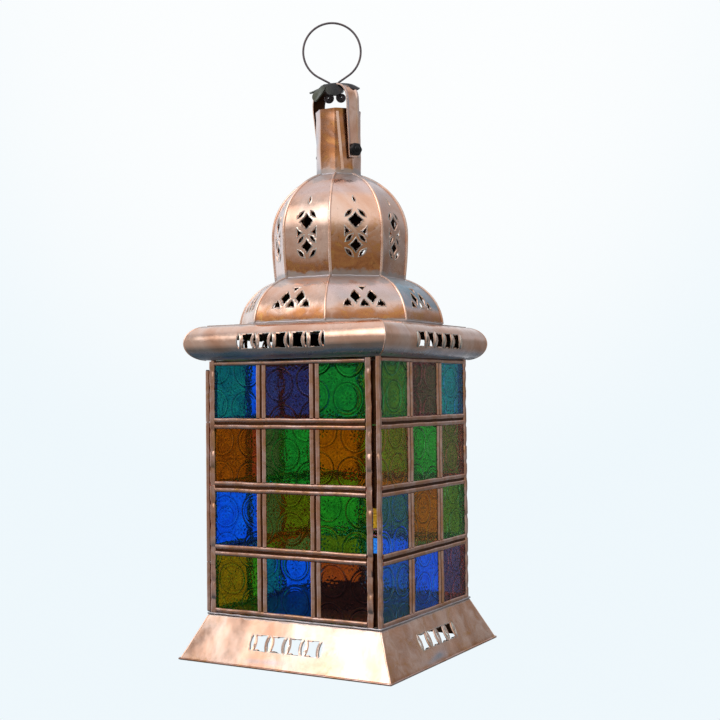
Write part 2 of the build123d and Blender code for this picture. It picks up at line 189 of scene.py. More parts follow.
def cut(place, way):
    """Cut the opened piece right across."""
    bpy.ops.mesh.select_all(action="SELECT")
    bpy.ops.mesh.bisect(plane_co=place, plane_no=way)


def close_up(weld=0.0):
    """Weld what lies close, turn all faces outwards and leave edit mode."""
    bpy.ops.mesh.select_all(action="SELECT")
    if weld:
        bpy.ops.mesh.remove_doubles(threshold=weld)
    bpy.ops.mesh.normals_make_consistent(inside=False)
    bpy.ops.object.mode_set(mode="OBJECT")


# %% Helpers for finished pieces
def thicken(piece, thick, offset, rim=0, behind=0):
    """Make a sheet of a face. Its rim and its back take materials further down the piece's list."""
    sheet = piece.modifiers.new("sheet", "SOLIDIFY")
    sheet.thickness, sheet.offset = thick * mm, offset
    sheet.material_offset_rim, sheet.material_offset = rim, behind


def apply_all(piece):
    """Apply every modifier of a piece."""
    only(piece)
    for modifier in list(piece.modifiers):
        bpy.ops.object.modifier_apply(modifier=modifier.name)


def smooth(piece, angle):
    """Smooth shading with sharp edges kept."""
    only(piece)
    bpy.ops.object.shade_smooth_by_angle(angle=radians(angle))


def dress(piece, angle, *materials):
    """Give a piece its materials, apply its modifiers and smooth it."""
    for material in materials:
        piece.data.materials.append(material)
    apply_all(piece)
    smooth(piece, angle)


def seat(piece, name, *stands_for, body="lantern", slot="copper_sheet"):
    """Name a finished piece and let it ride on its body."""
    piece.name = name
    piece.data.name = name
    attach(piece, body)
    if stands_for:
        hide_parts(*stands_for)


# %% [markdown]
# ## Node helpers
# Materials are built from nodes. These helpers keep the node code short: each adds one node, feeds its inputs
# with links or plain values, and gives back the output that the next node needs.


# %% Node helpers
def node(tree, kind, values=None, **settings):
    """Add a node, set its properties and feed its inputs with links or plain values."""
    made = tree.nodes.new(kind)
    for key, value in settings.items():
        setattr(made, key, value)
    for key, value in (values or {}).items():
        if isinstance(value, bpy.types.NodeSocket):
            tree.links.new(value, made.inputs[key])
        else:
            made.inputs[key].default_value = value
    return made


def colour_of(value):
    """A plain colour gets its fourth number, a link stays as it is."""
    return (*value, 1) if isinstance(value, tuple) else value


def mix(tree, share, below, above, how="MIX"):
    """Mix two colours by a share."""
    values = {0: share, 6: colour_of(below), 7: colour_of(above)}
    return node(tree, "ShaderNodeMix", values, data_type="RGBA", blend_type=how).outputs[2]


def sums(tree, how, *values, clamp=False):
    """One step of arithmetic."""
    return node(tree, "ShaderNodeMath", dict(enumerate(values)), operation=how, use_clamp=clamp).outputs[0]


def spread(tree, value, low, high, first=0.0, last=1.0, kind="LINEAR"):
    """Map a range of values to another range."""
    values = {"Value": value, "From Min": low, "From Max": high, "To Min": first, "To Max": last}
    return node(tree, "ShaderNodeMapRange", values, interpolation_type=kind).outputs["Result"]


def grain(tree, scale, detail=3.0, rough=0.5, swirl=0.0):
    """Noise in Object coordinates."""
    place = node(tree, "ShaderNodeTexCoord").outputs["Object"]
    values = {"Vector": place, "Scale": scale, "Detail": detail, "Roughness": rough, "Distortion": swirl}
    return node(tree, "ShaderNodeTexNoise", values).outputs["Fac"]


def own_number(tree, name):
    """Number per vertex that the piece itself carries."""
    return node(tree, "ShaderNodeAttribute", attribute_name=name).outputs["Fac"]


def ramp(tree, value, *stops):
    """Colour ramp over the given places and colours."""
    made = node(tree, "ShaderNodeValToRGB", {"Fac": value})
    elements = made.color_ramp.elements
    while len(elements) < len(stops):
        elements.new(0.5)
    for element, (place, colour) in zip(elements, stops):
        element.position = place
        element.color = (*colour, 1)
    return made.outputs["Color"]


def add_relief(tree, shader, height, strength, distance):
    """Let a height bend the shading of a surface."""
    values = {"Height": height, "Strength": strength, "Distance": distance}
    tree.links.new(node(tree, "ShaderNodeBump", values).outputs[0], shader.inputs["Normal"])


def new_group(name, inputs, outputs):
    """Empty node group with its sockets, its start and its end."""
    tree = bpy.data.node_groups.new(name, "ShaderNodeTree")
    for label, value in inputs:
        tree.interface.new_socket(label, in_out="INPUT", socket_type="NodeSocketFloat").default_value = value
    for label, kind in outputs:
        tree.interface.new_socket(label, in_out="OUTPUT", socket_type=f"NodeSocket{kind}")
    return tree, node(tree, "NodeGroupInput").outputs, node(tree, "NodeGroupOutput")


def new_material(name, **values):
    """Material with one Principled shader and plain values on its sockets."""
    material = bpy.data.materials.new(name)
    material.use_nodes = True
    tree = material.node_tree
    tree.nodes.clear()
    shader = node(tree, "ShaderNodeBsdfPrincipled", {key.replace("_", " "): v for key, v in values.items()})
    node(tree, "ShaderNodeOutputMaterial", {"Surface": shader.outputs[0]})
    return material, tree, shader


# %% [markdown]
# ## Aged copper
# Sheet copper that was heated for soldering is never one colour. Where it was rubbed it is pink and orange,
# where it was left alone it turned brown and golden, and near the flame it has a violet or steel-blue bloom.
# The same violet, grey and steel-blue tones also stand in as painted reflections of the room round the lantern.
# One node group makes these tones, the roughness and the fine dents from noise in Object coordinates. How much
# brown, and how much bloom with painted reflection, a place has comes in as a number.

# %% Aged copper group
copper_inputs = (("Patch Size", 24.0), ("Tarnish", 0.3), ("Bloom", 0.0), ("Polish", 0.22))
copper_outputs = (("Color", "Color"), ("Roughness", "Float"), ("Height", "Float"))
aged_copper, start, end = new_group("aged_copper", copper_inputs, copper_outputs)
tree = aged_copper
patches = grain(tree, start["Patch Size"], 4.0, 0.55, 0.6)
stains = grain(tree, 75.0, 6.0, 0.68, 1.0)
specks = grain(tree, 330.0, 4.0, 0.7, 0.4)
rubbed = grain(tree, 190.0, 4.0, 0.65)
fresh = ramp(tree, patches, (0.33, (0.74, 0.42, 0.29)), (0.46, (0.84, 0.54, 0.41)),
             (0.58, (0.90, 0.66, 0.55)), (0.70, (0.84, 0.56, 0.42)))
brown = ramp(tree, stains, (0.34, (0.30, 0.115, 0.050)), (0.52, (0.50, 0.215, 0.090)),
             (0.68, (0.60, 0.32, 0.11)))
# Violet, grey and steel-blue tones: heat bloom mixed with painted reflection of the room.
bloom_and_reflection_stage = sums(tree, "MULTIPLY_ADD", start["Bloom"], -0.45, sums(tree, "ADD", patches, 0.30))
bloomed_and_reflected = ramp(tree, bloom_and_reflection_stage, (0.30, (0.26, 0.39, 0.47)), (0.46, (0.45, 0.47, 0.53)),
               (0.62, (0.66, 0.55, 0.56)))
brown_edge = sums(tree, "MULTIPLY_ADD", sums(tree, "SUBTRACT", stains, 0.5), 1.3, start["Tarnish"])
brown_share = spread(tree, brown_edge, 0.15, 0.85, kind="SMOOTHSTEP")
bloom_and_reflection_edge = sums(tree, "MULTIPLY_ADD", sums(tree, "SUBTRACT", patches, 0.5), 0.9, start["Bloom"])
bloom_and_reflection_share = spread(tree, bloom_and_reflection_edge, 0.18, 0.95, kind="SMOOTHSTEP")
toned = mix(tree, bloom_and_reflection_share, mix(tree, brown_share, fresh, brown), bloomed_and_reflected)
speck_share = sums(tree, "MULTIPLY", spread(tree, specks, 0.60, 0.72),
                   sums(tree, "MULTIPLY_ADD", brown_share, 0.5, 0.18))
tree.links.new(mix(tree, speck_share, toned, (0.13, 0.055, 0.03)), end.inputs["Color"])
dull = sums(tree, "MULTIPLY_ADD", brown_share, 0.10, spread(tree, rubbed, 0.35, 0.7, -0.04, 0.09))
dull = sums(tree, "MULTIPLY_ADD", bloom_and_reflection_share, 0.14, dull)
tree.links.new(sums(tree, "ADD", dull, start["Polish"], clamp=True), end.inputs["Roughness"])
tree.links.new(sums(tree, "MULTIPLY_ADD", rubbed, 0.07, grain(tree, 60.0, 2.0)), end.inputs["Height"])
print("group", aged_copper.name, "with", len(tree.nodes), "nodes")

# %% [markdown]
# ## Solder
# The sheets are joined with soft solder, which leaves a grey, slightly blue band with a ragged edge at every
# joint. A second group gives a mask that is one near a chosen height and fades out through noise.

# %% Solder group
solder_band, start, end = new_group("solder_band", (("Level", 0.25), ("Spread", 0.003)), (("Mask", "Float"),))
tree = solder_band
place = node(tree, "ShaderNodeTexCoord").outputs["Object"]
height = node(tree, "ShaderNodeSeparateXYZ", {0: place}).outputs["Z"]
away = sums(tree, "ABSOLUTE", sums(tree, "SUBTRACT", height, start["Level"]))
over = sums(tree, "SUBTRACT", sums(tree, "MULTIPLY", grain(tree, 120.0, 4.0, 0.6), 2.4),
            sums(tree, "DIVIDE", away, start["Spread"]))
tree.links.new(spread(tree, over, -0.25, 0.4, kind="SMOOTHSTEP"), end.inputs["Mask"])
print("group", solder_band.name)

# %% Copper materials
solder_colour, solder_rough = (0.44, 0.45, 0.46), 0.25


def copper(name, tarnish=None, bloom=None, polish=0.15, tint=None, bands=(), patch_size=24.0, bump=0.12):
    """Copper material. Without numbers, tarnish and the heat tint with painted reflection are read from the piece's
    own attributes.
    """
    material, tree, shader = new_material(name, Metallic=1.0)
    values = {"Patch Size": patch_size, "Polish": polish}
    for key, value in (("Tarnish", tarnish), ("Bloom", bloom)):
        values[key] = own_number(tree, key.lower()) if value is None else value
    age = node(tree, "ShaderNodeGroup", values, node_tree=aged_copper).outputs
    colour, rough = age["Color"], age["Roughness"]
    if tint is not None:
        colour = mix(tree, 1.0, colour, tint, "MULTIPLY")
    for level_z, reach, strength in bands:
        levels = {"Level": level_z, "Spread": reach}
        mask = node(tree, "ShaderNodeGroup", levels, node_tree=solder_band).outputs["Mask"]
        colour = mix(tree, sums(tree, "MULTIPLY", mask, strength), colour, solder_colour)
        rough = sums(tree, "MULTIPLY_ADD", mask, solder_rough, rough, clamp=True)
    tree.links.new(colour, shader.inputs["Base Color"])
    tree.links.new(rough, shader.inputs["Roughness"])
    add_relief(tree, shader, age["Height"], bump, 0.0012)
    return material


# Height, reach and strength of each band of solder, in metres.
joints = [(0.0340, 0.0016, 0.6), (0.2272, 0.0014, 0.5), (0.2540, 0.0016, 0.6), (0.2884, 0.0046, 0.65),
          (0.3716, 0.0050, 0.65)]
sheet_copper = copper("sheet_copper", bands=joints)
# Pale copper round the openings and on the cut edges: burnish and cut metal with painted highlight.
margin_burnish_and_highlight_copper = copper("margin_burnish_and_highlight_copper", 0.0, 0.85, 0.26, (1.35, 1.22, 1.02), patch_size=110.0, bump=0.5)
edge_and_highlight_copper = copper("cut_edge_copper", 0.0, 0.5, 0.34, (1.1, 1.04, 0.94), patch_size=90.0)
# Dark copper: soot on the inner faces, and painted shade on the backs of the sheets and the band and in the grooves
# between the strips.
soot_and_shade_copper = copper("soot_and_painted_shade_copper", 0.9, 0.0, 0.45, (0.16, 0.15, 0.16), patch_size=60.0)
seam_copper = copper("seam_copper", 0.0, 0.30, 0.20, (1.1, 1.08, 1.06), joints, patch_size=50.0)
strip_copper = copper("strip_copper", 0.46, 0.24, 0.10, (0.86, 0.86, 0.92), patch_size=60.0, bump=0.4)
solder_grey = copper("solder_grey", 0.05, 0.72, 0.24, (0.92, 0.97, 0.98), patch_size=90.0, bump=0.6)
deck_copper = copper("deck_copper", 0.45, 0.25, 0.26, bands=joints)
print("copper materials", [m.name for m in bpy.data.materials if "copper" in m.name])

# %% [markdown]
# ## Blackened iron and coloured glass
# The wire loop, the rosette and the bolts are iron, blackened and slightly rusty. The panes are pressed glass
# in four colours. Light crosses two panes before it reaches the eye, one at the front and one at the back, so
# each colour is lighter than it looks on the finished lantern.

# %% Iron and glass materials
even_depth, even_cast = 0.4, 0.5


def iron(name, dark, rust, patina=(0.075, 0.078, 0.05)):
    """Blackened iron with rusty spots, and a dull patina where the piece's attribute asks for it."""
    material, tree, shader = new_material(name, Metallic=0.35, Specular_IOR_Level=0.28)
    spots = grain(tree, 150.0, 5.0, 0.65)
    toned = ramp(tree, spots, (0.35, dark), (0.56, tuple(2.2 * c for c in dark)), (0.75, rust))
    tree.links.new(mix(tree, own_number(tree, "tarnish"), toned, patina), shader.inputs["Base Color"])
    tree.links.new(spread(tree, spots, 0.3, 0.75, 0.26, 0.55), shader.inputs["Roughness"])
    add_relief(tree, shader, spots, 0.35, 0.0006)
    return material


def glass(name, colour, deep, sheen, warm, cool):
    """Coloured glass with slow streaks and a cast per pane; darker along the pressed lines as deeper colour of
    thick glass and painted shade, lighter in the valleys beside them as thinner glass and painted highlight.
    """
    material, tree, shader = new_material(name, Transmission_Weight=1.0, IOR=1.38, Specular_IOR_Level=0.18,
                                          Specular_Tint=(*sheen, 1), Roughness=0.0)
    tint = ramp(tree, grain(tree, 40.0, 3.0, 0.5, 1.5), (0.32, deep), (0.66, colour))
    sparkle = ramp(tree, grain(tree, 420.0, 2.0, 0.6), (0.34, (0.66, 0.66, 0.69)), (0.60, (1.0, 1.0, 1.0)))
    depth, cast = own_number(tree, "depth"), own_number(tree, "cast")
    # Paler colour in the valleys: thinner glass and painted highlight. Deeper colour on the lines: thick glass and
    # painted shade.
    thin_glass_and_highlight_colour = tuple(min(1.0, 1.5 * c + 0.03) for c in colour)
    thick_glass_and_shade_colour = tuple(0.10 * c for c in deep)
    tint = mix(tree, spread(tree, cast, even_cast, 1.0), tint, warm)
    tint = mix(tree, spread(tree, cast, even_cast, 0.0), tint, cool)
    tint = mix(tree, 1.0, tint, sparkle, "MULTIPLY")
    tint = mix(tree, spread(tree, depth, even_depth, 0.0, 0.0, 0.8), tint, thin_glass_and_highlight_colour)
    tint = mix(tree, spread(tree, depth, even_depth, 1.0), tint, thick_glass_and_shade_colour)
    tree.links.new(tint, shader.inputs["Base Color"])
    add_relief(tree, shader, grain(tree, 320.0, 2.0, 0.5), 0.06, 0.0008)
    return material


black_iron = iron("black_iron", (0.010, 0.010, 0.011), (0.06, 0.036, 0.026))
wire_iron = iron("wire_iron", (0.075, 0.062, 0.066), (0.17, 0.11, 0.09))
# Plain and deep colour, sheen, warm cast and cool cast of each glass.
glass_colours = {
    "blue": ((0.05, 0.35, 1.0), (0.03, 0.22, 0.90), (0.04, 0.28, 1.0), (0.07, 0.46, 0.62), (0.03, 0.20, 0.72)),
    "green": ((0.11, 0.54, 0.12), (0.05, 0.38, 0.10), (0.08, 1.0, 0.12), (0.42, 0.46, 0.02), (0.06, 0.20, 0.50)),
    "amber": ((0.62, 0.32, 0.02), (0.44, 0.18, 0.01), (1.0, 0.55, 0.03), (0.40, 0.12, 0.06), (0.42, 0.36, 0.03)),
    "red": ((0.48, 0.11, 0.13), (0.33, 0.07, 0.10), (0.5, 0.30, 0.36), (0.56, 0.22, 0.09), (0.22, 0.10, 0.20)),
}
glasses = {name: glass(f"glass_{name}", *colours) for name, colours in glass_colours.items()}
print("glass", sorted(glasses))

# %% [markdown]
# ## Pierced sheets
# Gores, collar panels, eaves and skirt sides are flat copper first. The openings are punched in the flat
# sheet, then the sheet is bent over a former. The model follows the same steps: a flat curve with holes is
# filled, cut into a fine grid by bisecting, bent along its section by moving vertices, and thickened with
# Solidify. All lengths in the following cells are millimetres.


# %% Runs of a section
def straight(start, end):
    """Straight run of a section: length, places and outward direction."""
    start, end = np.array(start, float), np.array(end, float)
    length = float(np.hypot(*(end - start)))
    along = (end - start) / length
    out = np.array((along[1], -along[0]))
    return length, lambda t: start + np.outer(t, along), lambda t: np.tile(out, (len(t), 1))


def round_run(centre, radius, first, last):
    """Round run of a section, angles in degrees."""
    turn = lambda t: radians(first) + np.asarray(t) / radius
    out = lambda t: np.stack((np.cos(turn(t)), np.sin(turn(t))), axis=1)
    return radius * radians(last - first), lambda t: np.array(centre) + radius * out(t), out


def along_section(section, places):
    """Reach, height and outward direction at places along a section."""
    spots, outs = np.zeros((len(places), 2)), np.zeros((len(places), 2))
    begin = 0.0
    for i, (length, spot, out) in enumerate(section):
        inside = places >= begin - 1e-9 if i else np.ones(len(places), bool)
        spots[inside] = spot(places[inside] - begin)
        outs[inside] = out(places[inside] - begin)
        begin += length
    return spots, outs


def section_length(section):
    """Whole length of a section."""
    return sum(run[0] for run in section)


def half_turn(count):
    """Half the angle that one of several equal sides takes up."""
    return radians(180 / count)


def corner_turns(count):
    """Directions of the corners between several equal sides."""
    return [radians(180 / count * (2 * i + 1)) for i in range(count)]


# %% Sections of the bent sheets
body_half, foot_half, lip_height, lip_end = 75.0, 91.0, 33.2, 68.0
panel_top, eave_radius, flange_end = 227.2, 13.0, 69.0
deck_top, collar_top, collar_radius, collar_drop, collar_flange = 254.0, 289.6, 39.5, 1.8, 42.6
dome_apothem, dome_foot, dome_middle, dome_radius, neck_apothem = 49.6, 47.4, 326.0, 50.0, 16.8
skirt_section = [straight((foot_half, 0), (body_half, lip_height)),
                 straight((body_half, lip_height), (lip_end, lip_height))]
eave_middle, eave_top = panel_top + eave_radius, panel_top + 2 * eave_radius
eave_section = [straight((flange_end, panel_top), (body_half, panel_top)),
                round_run((body_half, eave_middle), eave_radius, -90, 90),
                straight((body_half, eave_top), (flange_end, eave_top))]
collar_centre = (body_half - collar_radius, deck_top - collar_drop)
collar_end = degrees(asin((collar_top - collar_centre[1]) / collar_radius))
collar_edge = collar_centre[0] + collar_radius * cos(radians(collar_end))
collar_section = [round_run(collar_centre, collar_radius, degrees(asin(collar_drop / collar_radius)), collar_end),
                  straight((collar_edge, collar_top), (collar_flange, collar_top))]
swell = dome_middle - collar_top
taper_radius = (swell**2 + (dome_apothem - dome_foot) ** 2) / (2 * (dome_apothem - dome_foot))
taper_start = -degrees(asin(swell / taper_radius))
dome_end = acos((neck_apothem - dome_apothem + dome_radius) / dome_radius)
dome_top = dome_middle + dome_radius * sin(dome_end)
gore_section = [round_run((dome_apothem - taper_radius, dome_middle), taper_radius, taper_start, 0),
                round_run((dome_apothem - dome_radius, dome_middle), dome_radius, 0, degrees(dome_end))]
sections = (skirt_section, eave_section, collar_section, gore_section)
print("section lengths", [round(section_length(s), 1) for s in sections], "top of the dome", round(dome_top, 2))


# %% Shapes of the openings
def bowed(start, end, bow, steps=7):
    """Points from start towards end, bowed to the left by a share of the length."""
    start, end = np.array(start, float), np.array(end, float)
    side = np.array((start[1] - end[1], end[0] - start[0]))
    return [tuple(start + (end - start) * t + side * bow * 4 * t * (1 - t)) for t in np.arange(steps) / steps]


def loop_of(corners, bows):
    """Closed outline through corners, each side with its own bow."""
    pairs = zip(corners, corners[1:] + corners[:1], bows)
    return [p for a, b, bow in pairs for p in bowed(a, b, bow)]


def moved(outline, x, y, turn=0.0):
    """Outline turned and moved on the flat sheet."""
    c, s = cos(radians(turn)), sin(radians(turn))
    return [(x + c * px - s * py, y + s * px + c * py) for px, py in outline]


def leaf(length, width):
    """Pointed leaf, upright."""
    return loop_of([(0, -length / 2), (0, length / 2)], [-width / 2 / length, -width / 2 / length])


def grown(outline, by):
    """Outline moved outwards by a distance, with its points blunted."""
    points = np.array(outline)
    following = np.roll(points, -1, 0)
    turning = np.sign(np.sum(points[:, 0] * following[:, 1] - following[:, 0] * points[:, 1]))
    sides = [np.stack((d[:, 1], -d[:, 0]), 1) / np.hypot(d[:, 0], d[:, 1])[:, None] * turning
             for d in (points - np.roll(points, 1, 0), following - points)]
    middle = sides[0] + sides[1]
    middle /= np.maximum(np.hypot(middle[:, 0], middle[:, 1]), 1e-6)[:, None]
    lean_by = np.maximum(np.sum(middle * sides[0], axis=1), 0.5)
    return [tuple(p) for p in points + middle * (by / lean_by)[:, None]]


# %% Patterns of the openings
window_pitch, window_wide, window_high, slit_wide = 14.8, 9.6, 11.6, 2.8


def window_row(count, middle):
    """Windows with drawn-in sides, between thin leaves."""
    x, y = window_wide / 2, window_high / 2
    window = loop_of([(x, -y), (x, y), (-x, y), (-x, -y)], [0.12, 0.02, 0.12, 0.02])
    slit = leaf(window_high, slit_wide)
    first = -(count - 1) / 2 * window_pitch
    row = [moved(window, first + i * window_pitch, middle) for i in range(count)]
    return row + [moved(slit, first + (i - 0.5) * window_pitch, middle) for i in range(count + 1)]


def gore_openings():
    """Two buds among leaves, two side notches and a slit above."""
    bud = loop_of([(5.8, 0.4), (0, 6.2), (-5.8, 0.4), (0, -6.0)], [0.05, 0.05, -0.07, -0.07])
    star = loop_of([(5.2, 0), (0, 5.7), (-5.2, 0), (0, -5.4)], [0.06, 0.06, 0.04, 0.04])
    notch = loop_of([(0, -3.8), (4.8, 0), (0, 3.8)], [0.06, 0.06, 0.03])
    high, low = 42.6, 23.4
    openings = [moved(leaf(6.4, 2.0), 0.2, 60.2, 6), moved(bud, 0, high), moved(star, 0, low)]
    for side in (1, -1):
        openings.append(moved(leaf(8.4, 3.0), side * 5.4, high + 5.4, 45 * side))
        openings.append(moved(leaf(8.4, 3.0), side * 5.2, low + 5.5, 45 * side))
        openings.append(moved(leaf(8.8, 3.2), side * 5.2, low - 5.6, -45 * side))
        openings.append(moved(notch, side * 8.8, (high + low) / 2 + 1.0, 90 + 90 * side))
    return openings


def collar_openings():
    """Scales: three arches at the foot, two buds above and one cap."""
    arch = loop_of([(-3.5, 0), (3.5, 0), (0, 6.6)], [0.04, -0.10, -0.10])
    bud = loop_of([(4.2, -0.5), (0, 6.4), (-4.2, -0.5), (0, -6.2)], [-0.06, -0.06, 0.05, 0.05])
    cap = loop_of([(-3.5, 0), (0, -4.8), (3.5, 0)], [0.05, 0.05, -0.06])
    foot, step = 11.0, 12.7
    openings = [moved(arch, i * step, foot) for i in (-1, 0, 1)]
    openings += [moved(bud, i * step, foot + 8.4) for i in (-0.5, 0.5)]
    return openings + [moved(cap, 0, foot + 18.6)]


# %% Make one flat sheet
def filled(name, loops):
    """Flat mesh between closed outlines."""
    flat = [[(x, y, 0) for x, y in loop] for loop in loops]
    return line_mesh(name, flat, True, dimensions="2D", fill_mode="BOTH")


def flat_sheet(name, section, count, openings, grid, margin=0.55):
    """Flat mitred sheet with openings, each with a pale margin of burnish and painted highlight, cut into a grid.
    """
    length = section_length(section)
    up = np.linspace(0, length, 60)
    reach = along_section(section, up)[0][:, 0] * tan(half_turn(count))
    outline = list(zip(reach, up)) + list(zip(-reach[::-1], up[::-1]))
    wider = [grown(opening, margin) for opening in openings]
    parts = [filled(name, [outline] + wider)]
    parts += [filled("margin", pair) for pair in zip(wider, openings)]
    for number, part in enumerate(parts):
        part.data.materials.append(margin_burnish_and_highlight_copper if number else sheet_copper)
    sheet = joined(parts, name)
    edit(sheet)
    bpy.ops.mesh.remove_doubles(threshold=0.01)
    for y in np.arange(grid, length, grid):
        cut((0, y, 0), (0, 1, 0))
    widest = float(reach.max())
    for x in np.arange(-int(widest / grid) * grid, widest, grid):
        cut((x, 0, 0), (1, 0, 0))
    close_up(0.02)
    print(name, "flat sheet with", len(sheet.data.polygons), "faces")
    return sheet


# %% Bend one sheet
sheet_thick = 0.8


def hole_rims(sheet, section, count):
    """Marks for the vertices on the rim of an opening, and how free of the edges each vertex is."""
    mesh = sheet.data
    used = {}
    for polygon in mesh.polygons:
        for key in polygon.edge_keys:
            used[key] = used.get(key, 0) + 1
    rim = np.zeros(len(mesh.vertices), bool)
    for key, times in used.items():
        if times == 1:
            rim[list(key)] = True
    x, s = points_of(sheet)[:, :2].T
    reach = along_section(section, s)[0][:, 0] * tan(half_turn(count))
    margin = np.minimum(reach - np.abs(x), np.minimum(s, section_length(section) - s))
    return rim & (margin > 0.5), unit(margin / 7.0)


def bent_sheet(flat, section, count, place, seed, tone, dent, lip, twist):
    """Bend a copy of a flat sheet, dent it, tone it and give it its thickness."""
    sheet = copy_of(flat, "sheet")
    rims, free = hole_rims(flat, section, count)
    x, s = points_of(sheet)[:, :2].T
    spots, outs = along_section(section, s)
    bent = np.stack((x, -spots[:, 0], spots[:, 1]), axis=1)
    out = np.stack((np.zeros(len(x)), -outs[:, 0], outs[:, 1]), axis=1)
    dents = wobble(bent, 24.0, dent, seed) + wobble(bent, 9.0, 0.16 * dent, seed + 31)
    lift = free * dents + rims * lip
    if twist:
        away = (x / window_pitch + 0.5 * (seed % 2)) % 1 - 0.5
        uneven = 0.7 + 0.5 * wobble(bent, 13.0, 1.0, seed + 5)
        lift -= rims * twist * np.sign(away) * (np.abs(away) < 0.3) * uneven
    set_points(sheet, (bent + out * lift[:, None]) * mm)
    set_tone(sheet, **tone(place, x, s, wobble(bent, 21.0, 1.0, seed + 77)))
    turn = radians(360 / count * place)
    sheet.data.transform(Matrix.Rotation(turn, 4, "Z"))
    outward = Vector((sin(turn), -cos(turn), 0))
    if sum(p.normal.dot(outward) * p.area for p in sheet.data.polygons) < 0:
        sheet.data.flip_normals()
    # The backs take the dark copper: soot and painted shade.
    for material in (edge_and_highlight_copper, soot_and_shade_copper, soot_and_shade_copper):
        sheet.data.materials.append(material)
    # The rims take the pale edge copper: cut metal and painted highlight.
    thicken(sheet, sheet_thick, -1, 1, 3)
    apply_all(sheet)
    solid = points_of(sheet)
    solid[:, 2] = np.maximum(solid[:, 2], 0)
    set_points(sheet, solid)
    smooth(sheet, 40)
    return sheet


# %% [markdown]
# ## Tones of the sheets
# Every sheet was heated in another way. The front gore is brown at its foot, its right neighbour golden with
# a violet crown, and the collar panels to the right carry a steel-blue tone. The violet crowns and the grey and
# steel-blue of the sheets to the right are heat bloom mixed with painted reflection of the room, the blue-grey
# under the eaves is painted reflection, and the side eaves and skirt sides are darker and greyer as painted
# shade. Each tone is a small formula of the place x across the sheet, the place s along it and a slow wave.

# %% Tones
# Brown and bloom of the eight places, the front first; the grey and steel-blue bloom of the places to the right is
# partly painted reflection of the room they face.
gore_brown = (0.85, 1.0, 0.6, 0.5, 0.6, 0.45, 0.2, 0.25)
gore_bloom_and_reflection = (0.0, 0.05, 0.45, 0.4, 0.15, 0.35, 0.55, 0.5)
collar_brown = (0.85, 0.8, 0.65, 0.6, 0.6, 0.7, 0.4, 0.4)
collar_bloom_and_reflection = (0.05, 0.6, 1.0, 0.45, 0.2, 0.35, 0.6, 0.45)


def gore_tone(place, x, s, wave):
    """Brown towards the foot; towards the crown a violet heat tint mixed with painted reflection."""
    begin, length, ragged = (1.25, 46, 0.3) if place == 1 else (1.0, 32, 0.5)
    golden = unit(begin - s / length + ragged * wave)
    crown = unit((s - 56) / 12)
    return {"tarnish": gore_brown[place] * golden + 0.1 * crown,
            "bloom": np.maximum(gore_bloom_and_reflection[place] + 0.2 * wave, 0.55 * crown)}


def collar_tone(place, x, s, wave):
    """Brown along the foot; above it a heat tint mixed with painted reflection."""
    foot = unit((15.0 - s + 6 * wave) / 9)
    crown = unit((s - 36) / 7)
    return {"tarnish": collar_brown[place] * (0.2 + 0.8 * foot),
            "bloom": np.maximum(collar_bloom_and_reflection[place] * (1 - 0.85 * foot) + 0.2 * wave, 0.6 * crown)}


def eave_tone(quarter, x, s, wave):
    """Clean on top, with a blue-grey painted reflection below; the side eaves darker and greyer all over, as
    painted shade.
    """
    # The blue-grey on the lower half of the round is painted reflection.
    below = unit((21.5 - s + 2 * wave) / 5)
    # Side eaves, right and left, are painted darker and greyer all over: painted shade.
    plain = 0.35 if quarter % 2 else 0.0
    return {"tarnish": 0.06 + 0.2 * wave + plain * 0.6, "bloom": plain + (0.95 - 1.6 * plain) * below}


def skirt_tone(quarter, x, s, wave):
    """Streaks from the hem upwards, a darker hem, a grey smear near it, and the side skirts darker and greyer as
    painted shade.
    """
    streak = wobble(np.stack((x, x * 0, s * 0.2), 1), 17.0, 0.3, quarter + 3)
    # Side skirts, right and left, are painted darker and greyer: painted shade.
    plain = 0.3 if quarter % 2 else 0.0
    smear = np.exp(-(((s - 5 - 2 * wave) / 3.5) ** 2)) * unit((30 - np.abs(x + 18)) / 20)
    return {"tarnish": 0.1 + streak + 0.1 * wave + 1.2 * plain + 0.3 * unit(1 - s / 4),
            "bloom": 0.7 * plain + 0.2 * wave + 0.55 * smear}


# %% Gores, collar panels, eaves and skirt sides
eighths, quarters = range(1, 9), ("front", "right", "back", "left")
eave_windows = window_row(5, section_length(eave_section) / 2)
skirt_windows = window_row(4, 19.2)
# Name, solid, labels, section, openings, size of the grid, tone, first seed, and dent, lip and twist.
sheets = (
    ("gore", "dome_gore", eighths, gore_section, gore_openings(), 2.4, gore_tone, 1, (0.35, 0.25, 0.0)),
    ("collar", "collar_panel", eighths, collar_section, collar_openings(), 2.4, collar_tone, 11, (0.35, 0.25, 0.0)),
    ("eave_moulding", "eave", quarters, eave_section, eave_windows, 2.6, eave_tone, 21, (0.3, 0.1, 0.7)),
    ("skirt_side", "skirt", quarters, skirt_section, skirt_windows, 4.0, skirt_tone, 26, (0.3, 0.1, 0.6)),
)
for name, solid, labels, section, openings, grid, tone, seed, handwork in sheets:
    flat = flat_sheet(f"{name}_flat", section, len(labels), openings, grid)
    for place, label in enumerate(labels):
        sheet = bent_sheet(flat, section, len(labels), place, place + seed, tone, *handwork)
        seat(sheet, f"{name}_{label}", f"{solid}_{label}")
    drop(flat)

# %% [markdown]
# ## Seams and hems
# Where two sheets meet, the edge of one is folded over the other and soldered, so a narrow bead stands along
# every corner. A bead is a curve through the corner line with a small round section, turned into a mesh.


# %% Lines for the beads
def bead(name, lines, radius, material, closed=False):
    """Rounded bead along one or more lines."""
    places = [[(x * mm, y * mm, z * mm) for x, y, z in line] for line in lines]
    piece = line_mesh(name, places, closed, dimensions="3D", bevel_depth=radius * mm, bevel_resolution=2,
                      use_fill_caps=True)
    dress(piece, 60, material)
    return piece


